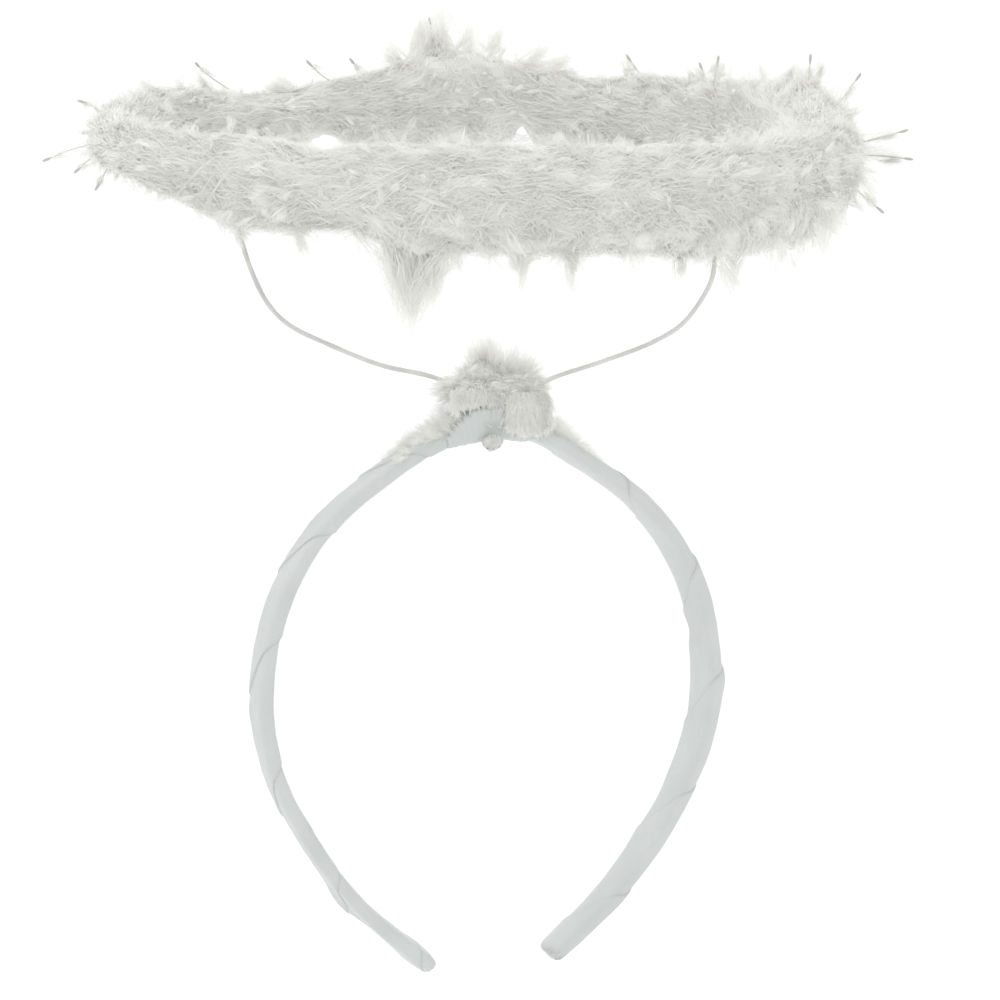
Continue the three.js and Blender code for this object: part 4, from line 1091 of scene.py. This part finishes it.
def front_lap(chance, row, density):
    """Short down that hangs over the binding like shingles, and feathers over it. Its foot waves, and its
    top sinks into the tuft."""
    middle, half = np.mean(row["sides"]), np.ptp(row["sides"]) / 2
    groups = []
    for count, lowest, highest, reach in ((row["feathers"], 0.3, 1.0, 5.5), (row["down"], 0.1, 0.95, 3.2)):
        count = int(count * density)
        share = chance.uniform(-1, 1, count)
        wave = 0.5 * np.sin(share * 11 + row["top"]) + 0.35 * np.sin(share * 29)
        foot = row["foot"] + row["rise"] * np.abs(share) ** 3 + wave
        start = foot + (row["top"] - foot) * chance.uniform(lowest, highest, count)
        end = start - reach * chance.uniform(0.5, 1.2, count)
        end = np.maximum(end, foot - chance.exponential(0.5, count))
        sunk = np.clip((row["top"] - start) / 4.5, 0, 1)
        swell = row["swell"] * np.sqrt(np.clip(1 - share**2, 0, 1)) * sunk
        out = row["depth"] - 2.4 * (1 - np.sqrt(sunk)) + swell + chance.uniform(-0.6, 0.5, count)
        side = middle + half * share + chance.normal(0, 0.5, count) * np.abs(share) ** 4
        tip_side = side + half * share * 0.05 + chance.normal(0, 1.1, count)
        tip_out = np.maximum(out, row["depth"] + 0.1 + swell) + chance.uniform(-0.2, 0.5, count)
        roots = np.stack([side, -out, start], axis=-1) * MM
        tips = np.stack([tip_side, -tip_out, end], axis=-1) * MM
        facings = unit(np.stack([0.9 * share, -1 + 0 * share, 0.25 + 0 * share], axis=-1))
        groups.append((roots, tips, facings))
    bends = facings * 0.25 * MM
    return groups[0], barb_strips(chance, roots, tips, bends, facings, LAP_DOWN_WIDTH, SHORT_STATIONS)


def skirt_feathers(chance, count, way):
    """Thin feathers that lie along the top of the band beside the tuft. Next to it on the left they lie
    broader and higher."""
    side = TUFT_MIDDLE[0] + way * chance.uniform(SKIRT_START, SKIRT_END, count)
    at = band_at(np.interp(side, band_line[crown_part, 0], band_run[crown_part]))
    left = side < 0
    breadth = np.where(left, np.interp(-side / MM, (11, 18), (0.66, 0.46)), 0.46) * BAND_WIDTH
    across = (chance.uniform(-1, 1, count) * breadth)[:, None]
    fade = ((SKIRT_END - np.abs(side - TUFT_MIDDLE[0])) / (SKIRT_END - SKIRT_START))[:, None]
    height = np.where(left, np.interp(side / MM, (-12.5, -7), (2.1, 6.0)), 2.1)
    height = height * chance.uniform(0.7, 1.0, count)
    roots = at["place"] + at["back"] * across + at["facing"] * height[:, None] * MM
    tips = (
        roots + at["along"] * way * chance.uniform(1, 6, (count, 1)) * MM
        + at["facing"] * (1.0 + 6.5 * fade) * MM * chance.uniform(0.3, 1.0, (count, 1))
        + at["back"] * (across * 0.15 + chance.normal(0, 0.9, (count, 1)) * MM)
    )
    return roots, tips, unit(at["facing"] + at["back"] * np.sign(across))


tuft_cores = [matted_egg(chance, TUFT_MIDDLE, TUFT_HALF, TUFT_CORE)]
tuft_layers = [tuft_undercoat(chance, TUFT_MIDDLE, TUFT_HALF, int(6500 * density), TUFT_DOWN_WIDTH)]
plumes = [tuft_feathers(chance, TUFT_MIDDLE, TUFT_HALF, int(300 * density), lowest=-0.5)]
for row in TUFT_LAPS:
    middle, half = np.array(row["middle"]) * MM, np.array(row["half"]) * MM
    tuft_cores.append(matted_egg(chance, middle, half, TUFT_CORE))
    tuft_layers.append(tuft_undercoat(chance, middle, half, int(row["down"] * density), LAP_DOWN_WIDTH))
    plumes.append(tuft_feathers(chance, middle, half, int(row["feathers"] * density), lowest=-1))
for row in FRONT_LAPS:
    lap_feathers, lap_down = front_lap(chance, row, density)
    plumes.append(lap_feathers)
    tuft_layers.append(lap_down)
for row in TUFT_POINTS:
    tip, spread = np.array(row["tip"]) * MM, row["spread"] * MM
    tips = tip + chance.normal(0, 1, (row["feathers"], 3)) * spread * [1, 1, 0.8]
    roots = TUFT_MIDDLE + (tips - TUFT_MIDDLE) * [0.55, 0.4, 0.3]
    plumes.append((roots, tips, np.array([0, 1.0, 0]) + chance.normal(0, 0.5, tips.shape)))
add_joined("crown_tuft_down", tuft_cores, matted_down, nodes=["crown_tuft"])
roots, tips, facing = (np.vstack(group) for group in zip(*plumes))
tuft_barbs = plume_barbs(chance, roots, tips, facing, barbs=19, spread=0.28, droop=0.02)
tuft_layers.append(barb_strips(chance, *tuft_barbs, TUFT_BARB_WIDTH))
add_joined("crown_tuft_marabou", tuft_layers, marabou)
plumes = [skirt_feathers(chance, int(220 * density), way) for way in (-1, 1)]
roots, tips, facing = (np.vstack(group) for group in zip(*plumes))
haze_barbs = plume_barbs(chance, roots, tips, facing, barbs=16, spread=0.3, droop=0.02)
points, faces = barb_strips(chance, *haze_barbs, HAZE_WIDTH)
add_piece("crown_tuft_haze", points, faces, marabou)


# Camera: at the height and angle of the photograph, about 0.9 m from the headband.

VIEW_AZIMUTH, VIEW_ELEVATION = np.radians([-20, 6])
CAMERA_DISTANCE = 900 * MM
CAMERA_TARGET = np.array([2.82, -1.03, -17]) * MM
FOCAL_LENGTH = 115.7  # in millimetres, like the sensor's width
SENSOR_WIDTH = 36
camera_back = np.array([
    np.sin(VIEW_AZIMUTH) * np.cos(VIEW_ELEVATION),
    -np.cos(VIEW_AZIMUTH) * np.cos(VIEW_ELEVATION),
    np.sin(VIEW_ELEVATION),
])
camera = bpy.data.objects.new("camera", bpy.data.cameras.new("camera"))
bpy.context.scene.collection.objects.link(camera)
camera.data.lens = FOCAL_LENGTH
camera.data.sensor_width = SENSOR_WIDTH
camera.location = Vector(CAMERA_TARGET + camera_back * CAMERA_DISTANCE)
camera.rotation_mode = "QUATERNION"
camera.rotation_quaternion = Vector(camera_back).to_track_quat("Z", "Y")
bpy.context.scene.camera = camera


# Studio: a wide white floor below the part, even white light from all round, and a large soft lamp above
# and a little behind. Its lengths are in metres.

FLOOR_RADIUS = 4.0
FLOOR_HEIGHT = -0.36
SKY_STRENGTH = 1.06
LAMP_PLACE = (-0.35, 0.35, 1.3)
LAMP_SIZE = 1.2
LAMP_POWER = 4


def make_paper_floor():
    """Matt white background paper, with no pattern to see at this distance."""
    material, surface = new_material("background_paper")
    shader = add_node(material, "BsdfPrincipled", {
        "Base Color": linear("#fcfcfc"), "Roughness": 0.95, "Specular IOR Level": 0.1,
    })
    material.node_tree.links.new(shader.outputs["BSDF"], surface)
    return material


floor_mesh = bpy.data.meshes.new("floor")
rim = 2 * np.pi * np.arange(64) / 64
floor_mesh.from_pydata(
    [(FLOOR_RADIUS * np.cos(a), FLOOR_RADIUS * np.sin(a), FLOOR_HEIGHT) for a in rim], [], [range(64)])
floor_mesh.materials.append(make_paper_floor())
floor = bpy.data.objects.new("floor", floor_mesh)
bpy.context.scene.collection.objects.link(floor)

world = bpy.data.worlds.new("studio")
world.use_nodes = True
bpy.context.scene.world = world
world.node_tree.nodes["Background"].inputs["Color"].default_value = (1, 1, 1, 1)
world.node_tree.nodes["Background"].inputs["Strength"].default_value = SKY_STRENGTH

lamp_data = bpy.data.lights.new("soft_lamp", "AREA")
lamp_data.shape = "DISK"
lamp_data.size = LAMP_SIZE
lamp_data.energy = LAMP_POWER
lamp = bpy.data.objects.new("soft_lamp", lamp_data)
lamp.location = LAMP_PLACE
lamp.rotation_mode = "QUATERNION"
lamp.rotation_quaternion = Vector(lamp.location).to_track_quat("Z", "Y")
bpy.context.scene.collection.objects.link(lamp)
bpy.context.scene.view_settings.view_transform = "Standard"
